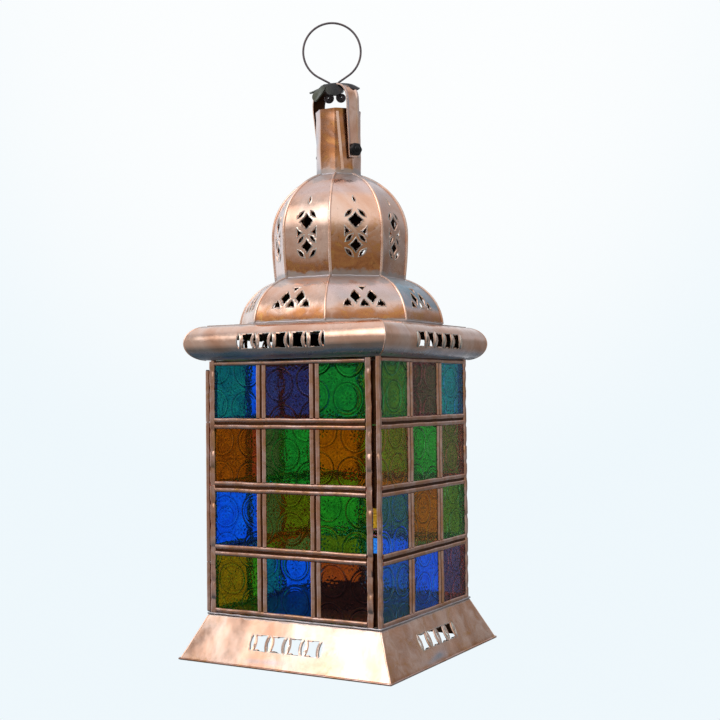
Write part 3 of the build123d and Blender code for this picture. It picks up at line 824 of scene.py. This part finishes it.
def corner_lines(section, count, first, last, sink=0.1, steps=40):
    """Lines where neighbouring sheets meet."""
    up = np.linspace(first, last, steps)
    spots, outs = along_section(section, up)
    reach = (spots[:, 0] - sink * outs[:, 0]) / cos(half_turn(count))
    height = spots[:, 1] - sink * outs[:, 1]
    lines = []
    for i, a in enumerate(corner_turns(count)):
        waves = wobble(np.stack((up, up * 0 + a, up * 0), 1), 11.0, 0.3, i)
        lines.append([(r * sin(a) + wave * cos(a), -r * cos(a) + wave * sin(a), z)
                      for r, z, wave in zip(reach, height, waves)])
    return lines


def ring_line(apothem, height, count, seed, wave=0.35):
    """Closed line round the lantern, following its flats."""
    reach = apothem / cos(half_turn(count))
    corners = [(reach * sin(a), -reach * cos(a)) for a in corner_turns(count)]
    line = []
    for (x0, y0), (x1, y1) in zip(corners, corners[1:] + corners[:1]):
        steps = max(2, int(hypot(x1 - x0, y1 - y0) / 2.0))
        line += [(x0 + (x1 - x0) * t, y0 + (y1 - y0) * t, height) for t in np.arange(steps) / steps]
    lift = wobble(line, 6.0, wave, seed)
    return [(x, y, z + w) for (x, y, z), w in zip(line, lift)]


# %% Beads along the corners
gore_length, collar_length = section_length(gore_section), collar_section[0][0]
eave_length, skirt_length = section_length(eave_section), skirt_section[0][0]
solder = [ring_line(47.2, collar_top + 0.2, 8, 41), ring_line(74.4, deck_top + 0.3, 8, 42),
          ring_line(neck_apothem + 0.2, dome_top, 8, 43, 0.5), ring_line(75.2, 34.1, 4, 44)]
# Lines, radius, material and whether the lines are closed.
beads = {
    "dome_seams": (corner_lines(gore_section, 8, 0.5, gore_length - 0.5), 1.2, seam_copper),
    "collar_seams": (corner_lines(collar_section, 8, 0.5, collar_length), 1.0, seam_copper),
    "eave_seams": (corner_lines(eave_section, 4, 6.5, eave_length - 6.5, 0.3), 0.6, seam_copper),
    "skirt_seams": (corner_lines(skirt_section, 4, 0.8, skirt_length - 0.5, 0.4), 0.7, seam_copper),
    "solder_joints": (solder, 0.85, solder_grey, True),
    "skirt_hem": ([ring_line(foot_half, 0.95, 4, 45, 0.0)], 0.88, strip_copper, True),
}
for name, values in beads.items():
    seat(bead(name, *values), name)
print("beads", sorted(beads))

# %% [markdown]
# ## Neck
# The neck is a strip of copper folded into an eight-sided tube with a lapped seam and a rim that is turned out
# a little. It starts as a circle with eight corners, is extruded upwards in steps, its edges are bevelled, and
# Solidify gives the wall.

# %% Neck
neck_bottom, rim_height, neck_steps = dome_top - 4.6, dome_top + 51.7, 14
neck_corner = neck_apothem / cos(half_turn(8))
neck = added(bpy.ops.mesh.primitive_circle_add, vertices=8, radius=neck_corner, location=(0, 0, neck_bottom),
             rotation=(0, 0, half_turn(8)))
bpy.ops.object.transform_apply()
edit(neck)
neck_rise = {"value": (0, 0, (rim_height - neck_bottom) / neck_steps)}
for step in range(neck_steps):
    bpy.ops.mesh.extrude_region_move(TRANSFORM_OT_translate=neck_rise)
bpy.ops.transform.resize(value=(1.02, 1.02, 1), center_override=(0, 0, rim_height))
bpy.ops.mesh.select_all(action="SELECT")
bpy.ops.mesh.select_mode(type="EDGE")
bpy.ops.mesh.bevel(offset=1.6, segments=3, profile=0.5, affect="EDGES")
close_up()
if sum(p.normal.dot(p.center * Vector((1, 1, 0))) for p in neck.data.polygons) < 0:
    neck.data.flip_normals()
places = points_of(neck)
ways = places / np.hypot(places[:, 0], places[:, 1])[:, None] * (1, 1, 0)
set_points(neck, (places + ways * wobble(places, 9.0, 0.3, 51)[:, None]) * mm)
facet = np.rint((np.arctan2(places[:, 1], places[:, 0]) + pi / 2) / (pi / 4)).astype(int) % 8
# Tone per facet: the pale grey front-left facet and the grey on the facets to the right are painted reflections of
# the room; the brown is tarnish.
neck_brown = np.array((0.7, 0.75, 0.4, 0.5, 0.5, 0.5, 0.5, 0.15))[facet]
neck_bloom_and_reflection = np.array((0.0, 0.05, 0.5, 0.4, 0.3, 0.3, 0.4, 0.6))[facet]
golden = unit((rim_height - 34 - places[:, 2]) / 12)
patchy = wobble(places, 12.0, 0.3, 52)
set_tone(neck, tarnish=neck_brown - 0.15 * golden + patchy, bloom=neck_bloom_and_reflection - patchy)
thicken(neck, sheet_thick, -1, 1, 2)
dress(neck, 40, sheet_copper, edge_and_highlight_copper, soot_and_shade_copper)
seat(neck, "neck", "neck_tube")
print("neck with", len(neck.data.polygons), "faces")

# %% [markdown]
# ## Strips of the glazed panels
# Every pane sits in a frame of narrow copper strips, folded round the edge of the glass so that the face is
# rounded like a bead. One bar is modelled from a cube: its long edges are bevelled, it is cut across so that it
# can waver, and copies of it make the rails, the short uprights and the edge strips.

# %% One strip
came_face, came_groove, stile_face, strip_depth, strip_crown = 3.6, 1.4, 5.0, 3.0, 1.45
crimp_count, crimp_half, crimp_depth, station_gap = 13, 0.7, 0.45, 5
stand = Matrix.Rotation(pi / 2, 4, "Y")


def flattened(share):
    """Makes a strip thinner."""
    return Matrix.Diagonal((1, share, 1, 1))


def strip(length, face, crown, crimps=()):
    """Rounded bar along X, its outside face towards -Y."""
    bar = added(bpy.ops.mesh.primitive_cube_add, size=1, location=(0, strip_depth / 2, 0))
    bar.scale = (length, strip_depth, face)
    bpy.ops.object.transform_apply(location=True, rotation=False, scale=True)
    edit(bar, "DESELECT", "EDGE")
    bpy.ops.object.mode_set(mode="OBJECT")
    for edge in bar.data.edges:
        a, b = (bar.data.vertices[i].co for i in edge.vertices)
        edge.select = abs(a.x - b.x) > length / 2
    bpy.ops.object.mode_set(mode="EDIT")
    bpy.ops.mesh.bevel(offset=crown, segments=4, profile=0.5, affect="EDGES")
    stations = list(np.arange(-length / 2 + station_gap, length / 2 - 2, station_gap))
    for x in stations + [c + d for c in crimps for d in (-crimp_half, crimp_half)]:
        cut((x, 0, 0), (1, 0, 0))
    bpy.ops.object.mode_set(mode="OBJECT")
    places = points_of(bar)
    for crimp in crimps:
        near = (np.abs(places[:, 0] - crimp) < crimp_half + 0.05) & (places[:, 1] < crown)
        places[near, 1] += crimp_depth
    set_points(bar, places)
    return bar


# %% Frames of strips
columns, rows = 3, 4
# Quarter turn, left, right, bottom, top, and the glass of each row from the top.
panels = {"door": (0, -73.85, 68.5, 35.0, 226.2, "BRG AGA BAG GBR"),
          "right": (1, -75.0, 75.0, 34.0, 227.2, "GRB AGR BAG GBR"),
          "back": (2, -72.0, 72.0, 34.0, 227.2, "GAG GGA AAG BBA"),
          "left": (3, -75.0, 71.5, 34.0, 227.2, "BBG GRA GBB BGA")}


def panel_body(name):
    """Body that a panel rides on."""
    return "door" if name == "door" else "lantern"


def panel_spin(quarter):
    """Turns a panel to its side of the lantern, in metres."""
    return Matrix.Rotation(radians(90 * quarter), 4, "Z") @ to_metres


def panel_cells(left, right, bottom, top):
    """Openings of a panel, from the top row down and from the left."""
    pair = 2 * came_face + came_groove
    width = (right - left - 2 * stile_face - (columns - 1) * pair) / columns
    height = (top - bottom - 2 * came_face - (rows - 1) * pair) / rows
    for row in range(rows):
        cell_top = top - came_face - row * (height + pair)
        for column in range(columns):
            cell_left = left + stile_face + column * (width + pair)
            yield row, column, cell_left, cell_left + width, cell_top - height, cell_top


def wavered(piece, seed, depth=0.34):
    """Let the strips of a panel waver a little, as hand-cut strips do."""
    places = points_of(piece) / mm
    shift = np.stack([wobble(places, 19.0, depth, seed + k) for k in range(3)], axis=1)
    shift[:, 1] *= 0.5
    set_points(piece, (places + shift) * mm)


def strip_frame(name, quarter, left, right, bottom, top):
    """All strips of one panel: edge strips in one piece, the grid in another."""
    spin = panel_spin(quarter)
    cells = list(panel_cells(left, right, bottom, top))
    shares = [-0.5 + (i + 0.5) / crimp_count for i in range(crimp_count)]
    crimps = [share * (top - bottom) + 2.2 * sin(5.1 * i) for i, share in enumerate(shares)]
    stile = strip(top - bottom, stile_face, strip_crown, crimps)
    rail = strip(right - left - 2 * stile_face, came_face, strip_crown)
    mullion = strip(cells[0][5] - cells[0][4], came_face, strip_crown)
    long_web, short_web = (strip(b.dimensions.x, came_groove + 1.6, 0.4) for b in (rail, mullion))
    bars = (stile, rail, mullion, long_web, short_web)
    for bar in bars:
        # The webs sunk in the grooves take the dark copper: painted shade between the paired strips.
        bar.data.materials.append(soot_and_shade_copper if bar in (long_web, short_web) else strip_copper)

    def put(bar, x, z, turn=Matrix.Identity(4)):
        """Copy of a bar at its place in the panel."""
        return copy_of(bar, "strip", spin @ Matrix.Translation((x, -body_half, z)) @ turn)

    middle, centre = (bottom + top) / 2, (left + right) / 2
    stiles = [put(stile, x, middle, stand) for x in (left + stile_face / 2, right - stile_face / 2)]
    half, past = came_face / 2, came_face + came_groove / 2
    grid = []
    for row, column, x0, x1, z0, z1 in cells:
        if column == 0:
            grid += [put(rail, centre, z) for z in (z0 - half, z1 + half)]
        else:
            grid.append(put(mullion, x0 - half, (z0 + z1) / 2, stand))
        if column < columns - 1:
            grid.append(put(mullion, x1 + half, (z0 + z1) / 2, stand))
    sunk = Matrix.Translation((0, 0.95, 0)) @ flattened(0.4)
    for row, column, x0, x1, z0, z1 in cells:
        if column == 0 and row > 0:
            grid.append(put(long_web, centre, z1 + past, sunk))
        if column > 0:
            grid.append(put(short_web, x0 - past, (z0 + z1) / 2, sunk @ stand))
    for bar in bars:
        drop(bar)
    for kind, copies in (("stiles", stiles), ("cames", grid)):
        piece = joined(copies, f"{name}_{kind}_strips")
        wavered(piece, quarter * 10 + len(copies))
        smooth(piece, 50)
        seat(piece, f"{name}_{kind}_strips", f"{name}_{kind}", body=panel_body(name), slot="copper_strip")


for name, panel in panels.items():
    strip_frame(name, *panel[:5])
print("strips of", len(panels), "panels")

# %% Lap of the neck
lap = strip(rim_height - dome_top - 5.0, 2.4, 0.5)
lap_turn = Matrix.Rotation(pi / 2 - 0.085, 4, "Y") @ flattened(0.22)
lap_place = Matrix.Translation((-3.2, -neck_apothem - 0.45, (dome_top + rim_height) / 2))
lap.data.transform(Matrix.Rotation(radians(45), 4, "Z") @ lap_place @ lap_turn)
lap.data.transform(to_metres)
dress(lap, 40, seam_copper)
seat(lap, "neck_lap")
print("lap of the neck")

# %% [markdown]
# ## Pressed glass panes
# The glass was rolled with a relief: large rings on a square net, with a small flower inside each ring and
# between the rings. Each pane is cut from another place of that sheet, and some from another batch, with a
# warmer or cooler cast. A fine grid takes the relief on its outside face, and the back stays flat, so that the
# glass bends the light as pressed glass does.

# %% One pane
pane_thick, grid_step, relief_sink = 1.6, 0.48, 0.3
net_pitch, ring_radius, petal_count = 27.6, 11.7, 8


def ridge(far, wide):
    """Rounded line of a given width, by the distance from its middle."""
    return np.exp(-((far / wide) ** 2))


def pressed_relief(x, y):
    """Height of the pressed pattern, and its shading: high on the thick lines, for deeper colour and painted shade,
    low in the valleys beside them, for paler colour and painted highlight.
    """
    lines, thin = np.zeros_like(x), np.zeros_like(x)
    for shift, ring, flower in ((0.0, 1.0, 0.8), (net_pitch / 2, 0.0, 0.9)):
        u = (x + shift + net_pitch / 2) % net_pitch - net_pitch / 2
        v = (y + shift + net_pitch / 2) % net_pitch - net_pitch / 2
        far, petals = np.hypot(u, v), np.cos(petal_count * np.arctan2(v, u))
        lines += ring * ridge(far - ring_radius, 0.62)
        lines += 0.5 * ring * ridge(far - ring_radius + 2.0, 0.55)
        lines += flower * (unit(petals) * ridge(far - 3.7, 0.9) + ridge(far, 1.0))
        # The valley lines beside the rings and between the petals are painted lighter: painted highlight.
        thin += ring * ridge(far - ring_radius + 0.95, 0.5)
        thin += 0.9 * flower * unit(-petals) * ridge(far - 4.0, 1.0)
    pebbles = np.sin(2.9 * x + 1.3 * np.sin(1.7 * y)) * np.sin(3.1 * y + 1.1 * np.sin(1.9 * x))
    return 0.28 * lines + 0.02 * pebbles, even_depth + 0.6 * lines - 0.5 * thin + 0.12 * pebbles


def pane(width, height, seed, cast):
    """One pane: relief towards -Y, flat behind."""
    across, up = int(width / grid_step), int(height / grid_step)
    piece = added(bpy.ops.mesh.primitive_grid_add, x_subdivisions=across, y_subdivisions=up, size=1)
    flat = points_of(piece)
    x, z = flat[:, 0] * width, flat[:, 1] * height
    turn = 0.12 * sin(seed * 2.3) + (pi / 4 if seed % 5 == 0 else 0)
    u = x * cos(turn) - z * sin(turn) + 17.0 * seed
    v = x * sin(turn) + z * cos(turn) + 11.0 * seed
    raised, shade = pressed_relief(u, v)
    set_points(piece, np.stack((x, -pane_thick / 2 - raised + relief_sink, z), axis=1))
    edit(piece, "DESELECT", "EDGE")
    bpy.ops.mesh.select_non_manifold()
    bpy.ops.mesh.extrude_region_move(TRANSFORM_OT_translate={"value": (0, pane_thick, 0)})
    bpy.ops.transform.resize(value=(1, 0, 1), center_override=(0, pane_thick / 2, 0))
    bpy.ops.mesh.edge_face_add()
    close_up()
    count = len(piece.data.vertices)
    behind = np.full(count - len(shade), even_depth)
    set_tone(piece, depth=np.concatenate((shade, behind)), cast=np.full(count, cast))
    return piece


# %% Panes
glass_names = {"B": "blue", "G": "green", "A": "amber", "R": "red"}
came_bite, stile_bite = 2.3, 3.7
# Panes from another batch, by panel, row and column.
casts = {("door", 0, 1): 0.3, ("door", 1, 0): 0.85, ("door", 3, 0): 1.0, ("door", 3, 2): 0.9,
         ("right", 0, 2): 0.8, ("right", 1, 2): 0.9, ("right", 3, 0): 0.0, ("right", 3, 1): 0.3}


def glaze(name, quarter, left, right, bottom, top, letters):
    """All panes of one panel, one piece for each colour."""
    spin = panel_spin(quarter)
    groups = {}
    for row, column, x0, x1, z0, z1 in panel_cells(left, right, bottom, top):
        x0 -= stile_bite if column == 0 else came_bite
        x1 += stile_bite if column == columns - 1 else came_bite
        seed = quarter * columns * rows + row * columns + column + 1
        cast = casts.get((name, row, column), even_cast + 0.08 * sin(3.7 * seed))
        piece = pane(x1 - x0, z1 - z0 + 2 * came_bite, seed, cast)
        middle = ((x0 + x1) / 2, -body_half + strip_depth / 2, (z0 + z1) / 2)
        piece.data.transform(spin @ Matrix.Translation(middle))
        groups.setdefault(glass_names[letters.split()[row][column]], []).append(piece)
    for colour, pieces in groups.items():
        whole = joined(pieces, f"{name}_glass_{colour}")
        dress(whole, 50, glasses[colour])
        seat(whole, f"{name}_glass_{colour}", f"{name}_panes_{colour}", body=panel_body(name),
             slot=f"glass_{colour}")


for name, panel in panels.items():
    glaze(name, *panel)
print("glazed", len(panels), "panels")

# %% [markdown]
# ## Handle, rosette and wire loop
# The handle is a copper band with folded edges, bent into an arch and bolted to the neck. On its flat top lies
# a rosette of black sheet iron with bent petals, and a wire loop passes through both and is coiled into a knob
# below. All three lean together, as the lantern hangs a little off plumb.

# %% Middle line of the handle
bolt_height, strap_top = 391.648, 445.048
handle_turn, handle_lean = radians(-22.5), radians(4.0)
handle_way = Vector((cos(handle_turn), sin(handle_turn), 0))
pivot = Vector((0, 0, bolt_height))
lean = Matrix.Translation(pivot) @ Matrix.Rotation(handle_lean, 4, handle_way) @ Matrix.Translation(-pivot)
leg_steps, bend_steps, flat_steps = 14, 14, 6


def arch_runs():
    """Middle line of the band, from the foot of one leg to the other: places and outward directions."""
    low, high, foot, top, bend = 19.234, 22.634, bolt_height - 6.0, strap_top - 0.75, 12.75
    leg = Vector((high - low, top - foot)).normalized()
    corner = acos(leg.dot(Vector((1, 0))))
    start = Vector((high, top)) - leg * (bend * tan((pi - corner) / 2))
    centre = start + Vector((-leg.y, leg.x)) * bend
    first = atan2(-leg.x, leg.y)
    half = [(Vector((low, foot)).lerp(start, t / leg_steps), Vector((leg.y, -leg.x))) for t in range(leg_steps)]
    for t in range(bend_steps + 1):
        a = first + (pi / 2 - first) * t / bend_steps
        half.append((centre + bend * Vector((cos(a), sin(a))), Vector((cos(a), sin(a)))))
    reach, up = half[-1][0].x, Vector((0, 1))
    half += [(Vector((reach * (1 - t / flat_steps), top)), up) for t in range(1, flat_steps)]
    mirror = [(Vector((-p.x, p.y)), Vector((-n.x, n.y))) for p, n in reversed(half)]
    return half + [(Vector((0, top)), up)] + mirror


# %% Handle
band_width, band_thick, hem_from, hem_fold = 12.0, 1.3, 3.9, 0.6
line = arch_runs()
strap = added(bpy.ops.mesh.primitive_grid_add, x_subdivisions=len(line) - 1, y_subdivisions=20, size=1)
flat = points_of(strap)
station = np.rint((flat[:, 0] + 0.5) * (len(line) - 1)).astype(int)
across = flat[:, 1] * band_width
hem = unit((np.abs(across) - hem_from) / hem_fold)
spots = np.array([line[i][0] for i in station])
outs = np.array([line[i][1] for i in station])
on_band = np.stack((spots[:, 0], across, spots[:, 1]), 1)
taper = 1.0 - 0.16 * unit((424.0 - spots[:, 1]) / 40.0)
raised = spots + outs * (hem_fold * hem + 0.2 * wobble(on_band, 7.0, 1.0, 63) - 0.05)[:, None]
set_points(strap, np.stack((raised[:, 0], across * taper, raised[:, 1]), axis=1))
patchy = wobble(on_band, 8.0, 0.3, 64)
# The folded hems are paler than the band: painted highlight along the folds.
set_tone(strap, tarnish=0.3 - 0.3 * hem + patchy, bloom=0.15 + 0.45 * hem - patchy)
if sum(p.normal.z for p in strap.data.polygons) < 0:
    strap.data.flip_normals()
strap.data.transform(to_metres @ lean @ Matrix.Rotation(handle_turn, 4, "Z"))
thicken(strap, band_thick, 0, 1, 2)
fold = strap.modifiers.new("fold", "BEVEL")
fold.width, fold.segments, fold.limit_method, fold.angle_limit = 0.25 * mm, 2, "ANGLE", radians(50)
# The underside of the band takes the dark copper: painted shade.
dress(strap, 40, sheet_copper, edge_and_highlight_copper, soot_and_shade_copper)
seat(strap, "handle_band", "handle_strap", body="handle")
print("handle band with", len(strap.data.polygons), "faces")

# %% [markdown]
# The rosette is cut from a disc. A grid is rolled into a fan, six bows round its rim make the petals, and each
# petal is bent about a fold line. Two petals were pushed down, and the face of the lower one has a dull
# green-brown patina.

# %% Rosette
fold_radius, petal_root, petal_reach = 10.6, 12.2, 9.8
rosette = added(bpy.ops.mesh.primitive_grid_add, x_subdivisions=120, y_subdivisions=16, size=1)
flat = points_of(rosette)
turn = flat[:, 0] * 2 * pi
pushed, beside, nodding, near = (unit(np.cos(turn - radians(way))) ** power
                                 for way, power in ((240, 5), (190, 4), (-25, 2), (300, 6)))
petal = petal_root + petal_reach * np.abs(np.cos(3 * turn)) ** 0.45
reach = (flat[:, 1] + 0.5) * petal * (1 + 0.16 * pushed)
beyond = np.clip(reach - fold_radius, 0, None)
bend = radians(9) + radians(52) * pushed + radians(34) * near
sunk = beyond * np.sin(bend) + 0.04 * nodding * beyond**2
reach = np.minimum(reach, fold_radius) + beyond * np.cos(bend)
cupped = 0.5 * np.cos(6 * turn) * np.clip(reach - 8, 0, 6) / 6
x, y = reach * np.cos(turn), reach * np.sin(turn)
z = strap_top + 0.55 - sunk + cupped * 0.6
z += wobble(np.stack((x, y, z * 0), 1), 5.0, 0.35, 61) * unit((reach - 9) / 6)
set_points(rosette, np.stack((x, y, z), axis=1))
set_tone(rosette, tarnish=unit(beyond / 4) * (pushed + 0.5 * beside))
rosette.data.transform(to_metres @ lean)
edit(rosette)
close_up(0.02 * mm)
thicken(rosette, 1.0, 0)
dress(rosette, 50, black_iron)
seat(rosette, "rosette", "rosette_washer", body="handle", slot="blackened_iron")
print("rosette with", len(rosette.data.polygons), "faces")

# %% [markdown]
# The bolts carry black iron nuts with worn corners. A six-sided cylinder is bevelled all round, and a small
# dome closes the end of the bolt.

# %% Nuts
nut_radius, nut_depth, nut_reach, nut_worn = 5.5, 4.0, 22.43, 1.1
dome_size, dome_reach = 2.9, 23.4
nuts = []
for way_round in (handle_turn, handle_turn + pi):
    nut = added(bpy.ops.mesh.primitive_cylinder_add, vertices=6, radius=nut_radius, depth=nut_depth,
                location=(0, 0, nut_reach))
    bpy.ops.object.transform_apply()
    corners = nut.modifiers.new("corners", "BEVEL")
    corners.width, corners.segments = nut_worn, 4
    apply_all(nut)
    dome = added(bpy.ops.mesh.primitive_uv_sphere_add, segments=20, ring_count=12, radius=dome_size,
                 location=(0, 0, dome_reach))
    bpy.ops.object.transform_apply()
    whole = joined([nut, dome], "nut")
    whole.data.transform(to_metres @ Matrix.Translation(pivot) @ Matrix.Rotation(way_round, 4, "Z") @ stand)
    nuts.append(whole)
nuts = joined(nuts, "iron_nuts")
dress(nuts, 45, black_iron)
seat(nuts, "iron_nuts", "handle_nuts", slot="blackened_iron")
print("nuts with", len(nuts.data.polygons), "faces")

# %% [markdown]
# The loop is one wire. Its big ring closes above the rosette, both ends dive through the holes, and each end is
# coiled inwards like a snail so that it cannot slip back. The line is written as arcs, and the bead makes it
# round.

# %% Wire loop
wire_radius, loop_radius, hole_offset, bend_radius, curl_radius = 0.85, 22.88, 3.4, 1.4, 3.5
ring_middle, bend_middle, curl_middle = strap_top + 27.8, strap_top + 2.3, strap_top - 9.0
bend_x, bend_drop = hole_offset + bend_radius, ring_middle - bend_middle
slant = atan2(bend_x, bend_drop) + acos((loop_radius + bend_radius) / hypot(bend_x, bend_drop))


def swing(cx, cz, radius, first, last, steps, shrink=0.0, shift=0.0):
    """Points of an arc, drawn in and moved aside along the way."""
    shares = [t / steps for t in range(steps + 1)]
    return [(cx + (radius - shrink * t) * cos(first + (last - first) * t), shift * t * t,
             cz + (radius - shrink * t) * sin(first + (last - first) * t)) for t in shares]


half_wire = (swing(0, ring_middle, loop_radius, pi / 2, slant - pi / 2, 56)
             + swing(bend_x, bend_middle, bend_radius, pi / 2 + slant, pi, 10)
             + [(hole_offset, 0, strap_top - 2.6)]
             + swing(5.0, curl_middle, curl_radius, pi * 0.9, pi + radians(860), 80, 3.0, -2.0))
whole_wire = [(-x, y, z) for x, y, z in reversed(half_wire[1:])] + half_wire
loop_way = Matrix.Rotation(radians(29.5), 4, "Z")
wire = bead("hanging_wire", [whole_wire], wire_radius, wire_iron)
wire.data.transform(to_metres @ lean @ loop_way @ Matrix.Diagonal((1 / mm, 1 / mm, 1 / mm, 1)))
seat(wire, "hanging_wire", "hanging_loop", body="loop", slot="blackened_iron")
print("wire of", len(whole_wire), "points")

# %% [markdown]
# ## Jamb and the pieces that stay as they are
# Behind the free edge of the door two flat strips close the gap, so that light falls through it only at the
# latch. The deck, the floor, the cup, the hinge and the bolts already have the right shape, so the CAD nodes
# stay and only get their finish.

# %% Jamb and finishes of the CAD nodes
jamb_x, jamb_y, jamb_width = 68.6, -71.3, 6.6
jambs = []
for low, high in ((35.0, 87.0), (119.0, 178.0)):
    jamb = strip(high - low, jamb_width, 0.3)
    jamb_place = Matrix.Translation((jamb_x, jamb_y, (low + high) / 2))
    jamb.data.transform(to_metres @ jamb_place @ stand @ flattened(0.3))
    jambs.append(jamb)
jamb = joined(jambs, "door_jamb")
dress(jamb, 40, soot_and_shade_copper)
seat(jamb, "door_jamb", slot="copper_strip")
finishes = {"deck_plate": deck_copper, "floor_plate": deck_copper, "candle_cup": soot_and_shade_copper,
            "door_stop": soot_and_shade_copper, "hinge_body_leaves": strip_copper, "hinge_door_leaf": strip_copper,
            "hinge_pin": wire_iron, "handle_bolts": black_iron}
for name, material in finishes.items():
    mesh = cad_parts[name].data
    mesh.materials.clear()
    mesh.materials.append(material)
print("finished", len(finishes), "CAD nodes")

# %% [markdown]
# ## Stage and light
# The lantern hangs free before a pale, slightly blue backdrop, far above the floor. The world is that backdrop
# for the camera and through the glass. Polished copper shows what stands around it, so for reflections the
# world is a studio of soft patches: dimmer walls, a dark floor, a pale ceiling and bright windows.

# %% World
scene = bpy.context.scene
scene.view_settings.view_transform = "Standard"
world = bpy.data.worlds.new("studio")
scene.world = world
world.use_nodes = True
tree = world.node_tree
tree.nodes.clear()
place = node(tree, "ShaderNodeTexCoord").outputs["Generated"]
way = node(tree, "ShaderNodeVectorMath", {0: place}, operation="NORMALIZE").outputs[0]
backdrop_colour, backdrop_glow = (0.86, 0.935, 0.975), (0.975, 0.99, 0.995)
room_colour, diffuse_colour = (0.47, 0.47, 0.49), (0.60, 0.61, 0.63)


def patch(direction, inner, outer):
    """Mask that is one within the inner angle round a direction and zero beyond the outer one."""
    values = {0: way, 1: Vector(direction).normalized()}
    toward = node(tree, "ShaderNodeVectorMath", values, operation="DOT_PRODUCT").outputs["Value"]
    return spread(tree, toward, cos(radians(outer)), cos(radians(inner)), kind="SMOOTHSTEP")


def seen_straight(path, tree):
    """One for rays that the camera sends, straight or through the glass."""
    return sums(tree, "MAXIMUM", path["Is Camera Ray"], path["Is Transmission Ray"])


# Direction, inner and outer angle, and colour of each patch, from the back to the front.
room = (((0.85, -0.53, 0.0), 30, 52, (0.42, 0.39, 0.34)),
        ((-0.49, -0.87, 0.0), 25, 50, (0.42, 0.39, 0.37)),
        ((0.49, 0.87, -0.12), 12, 26, (0.25, 0.24, 0.23)),
        ((0, 0, -1), 50, 88, (0.11, 0.14, 0.16)),
        ((-0.87, 0.49, 0.05), 38, 72, (0.88, 0.94, 1.0)),
        ((0, 0, 1), 22, 50, (0.95, 0.92, 0.94)),
        ((0.58, -0.41, 0.70), 18, 40, (0.95, 0.91, 0.88)),
        ((-0.287, -0.844, 0.454), 8, 22, (1.5, 1.45, 1.42)),
        ((-0.164, -0.771, 0.616), 12, 30, (2.9, 2.85, 2.8)))
studio = room_colour
for direction, inner, outer, colour in room:
    studio = mix(tree, patch(direction, inner, outer), studio, colour)
backdrop = mix(tree, patch((-0.4931, 0.8700, 0.35), 4, 26), backdrop_colour, backdrop_glow)
path = node(tree, "ShaderNodeLightPath").outputs
lit = mix(tree, path["Is Glossy Ray"], diffuse_colour, studio)
shown = mix(tree, seen_straight(path, tree), lit, backdrop)
background = node(tree, "ShaderNodeBackground", {"Color": shown})
node(tree, "ShaderNodeOutputWorld", {"Surface": background.outputs[0]})
print("world with", len(room), "patches")

# %% Floor and lamps
floor = added(bpy.ops.mesh.primitive_circle_add, vertices=64, radius=1.8, fill_type="NGON", location=(0, 0, -0.8))
floor.name = "floor"
pale = bpy.data.materials.new("pale_floor")
pale.use_nodes = True
tree = pale.node_tree
tree.nodes.clear()
seen = seen_straight(node(tree, "ShaderNodeLightPath").outputs, tree)
glow = node(tree, "ShaderNodeEmission", {"Color": colour_of(backdrop_colour), "Strength": 1.0}).outputs[0]
matt = node(tree, "ShaderNodeBsdfDiffuse", {"Color": (0.12, 0.15, 0.17, 1)}).outputs[0]
both = node(tree, "ShaderNodeMixShader", {0: seen, 1: matt, 2: glow}).outputs[0]
node(tree, "ShaderNodeOutputMaterial", {"Surface": both})
floor.data.materials.append(pale)


def softbox(name, place, size, watts, aim=(0, 0, 0.24)):
    """Large soft lamp that faces the lantern."""
    data = bpy.data.lights.new(name, "AREA")
    data.shape, data.size, data.energy = "DISK", size, watts
    lamp = placed(name, data)
    lamp.location = place
    lamp.rotation_euler = (Vector(aim) - Vector(place)).to_track_quat("-Z", "Y").to_euler()
    lamp.visible_camera = False
    lamp.visible_glossy = False


softbox("window_light", (-0.9, -1.5, 1.1), 1.2, 14)
softbox("ceiling_light", (0.1, 0.1, 1.9), 1.0, 8)
print("stage and lamps ready")
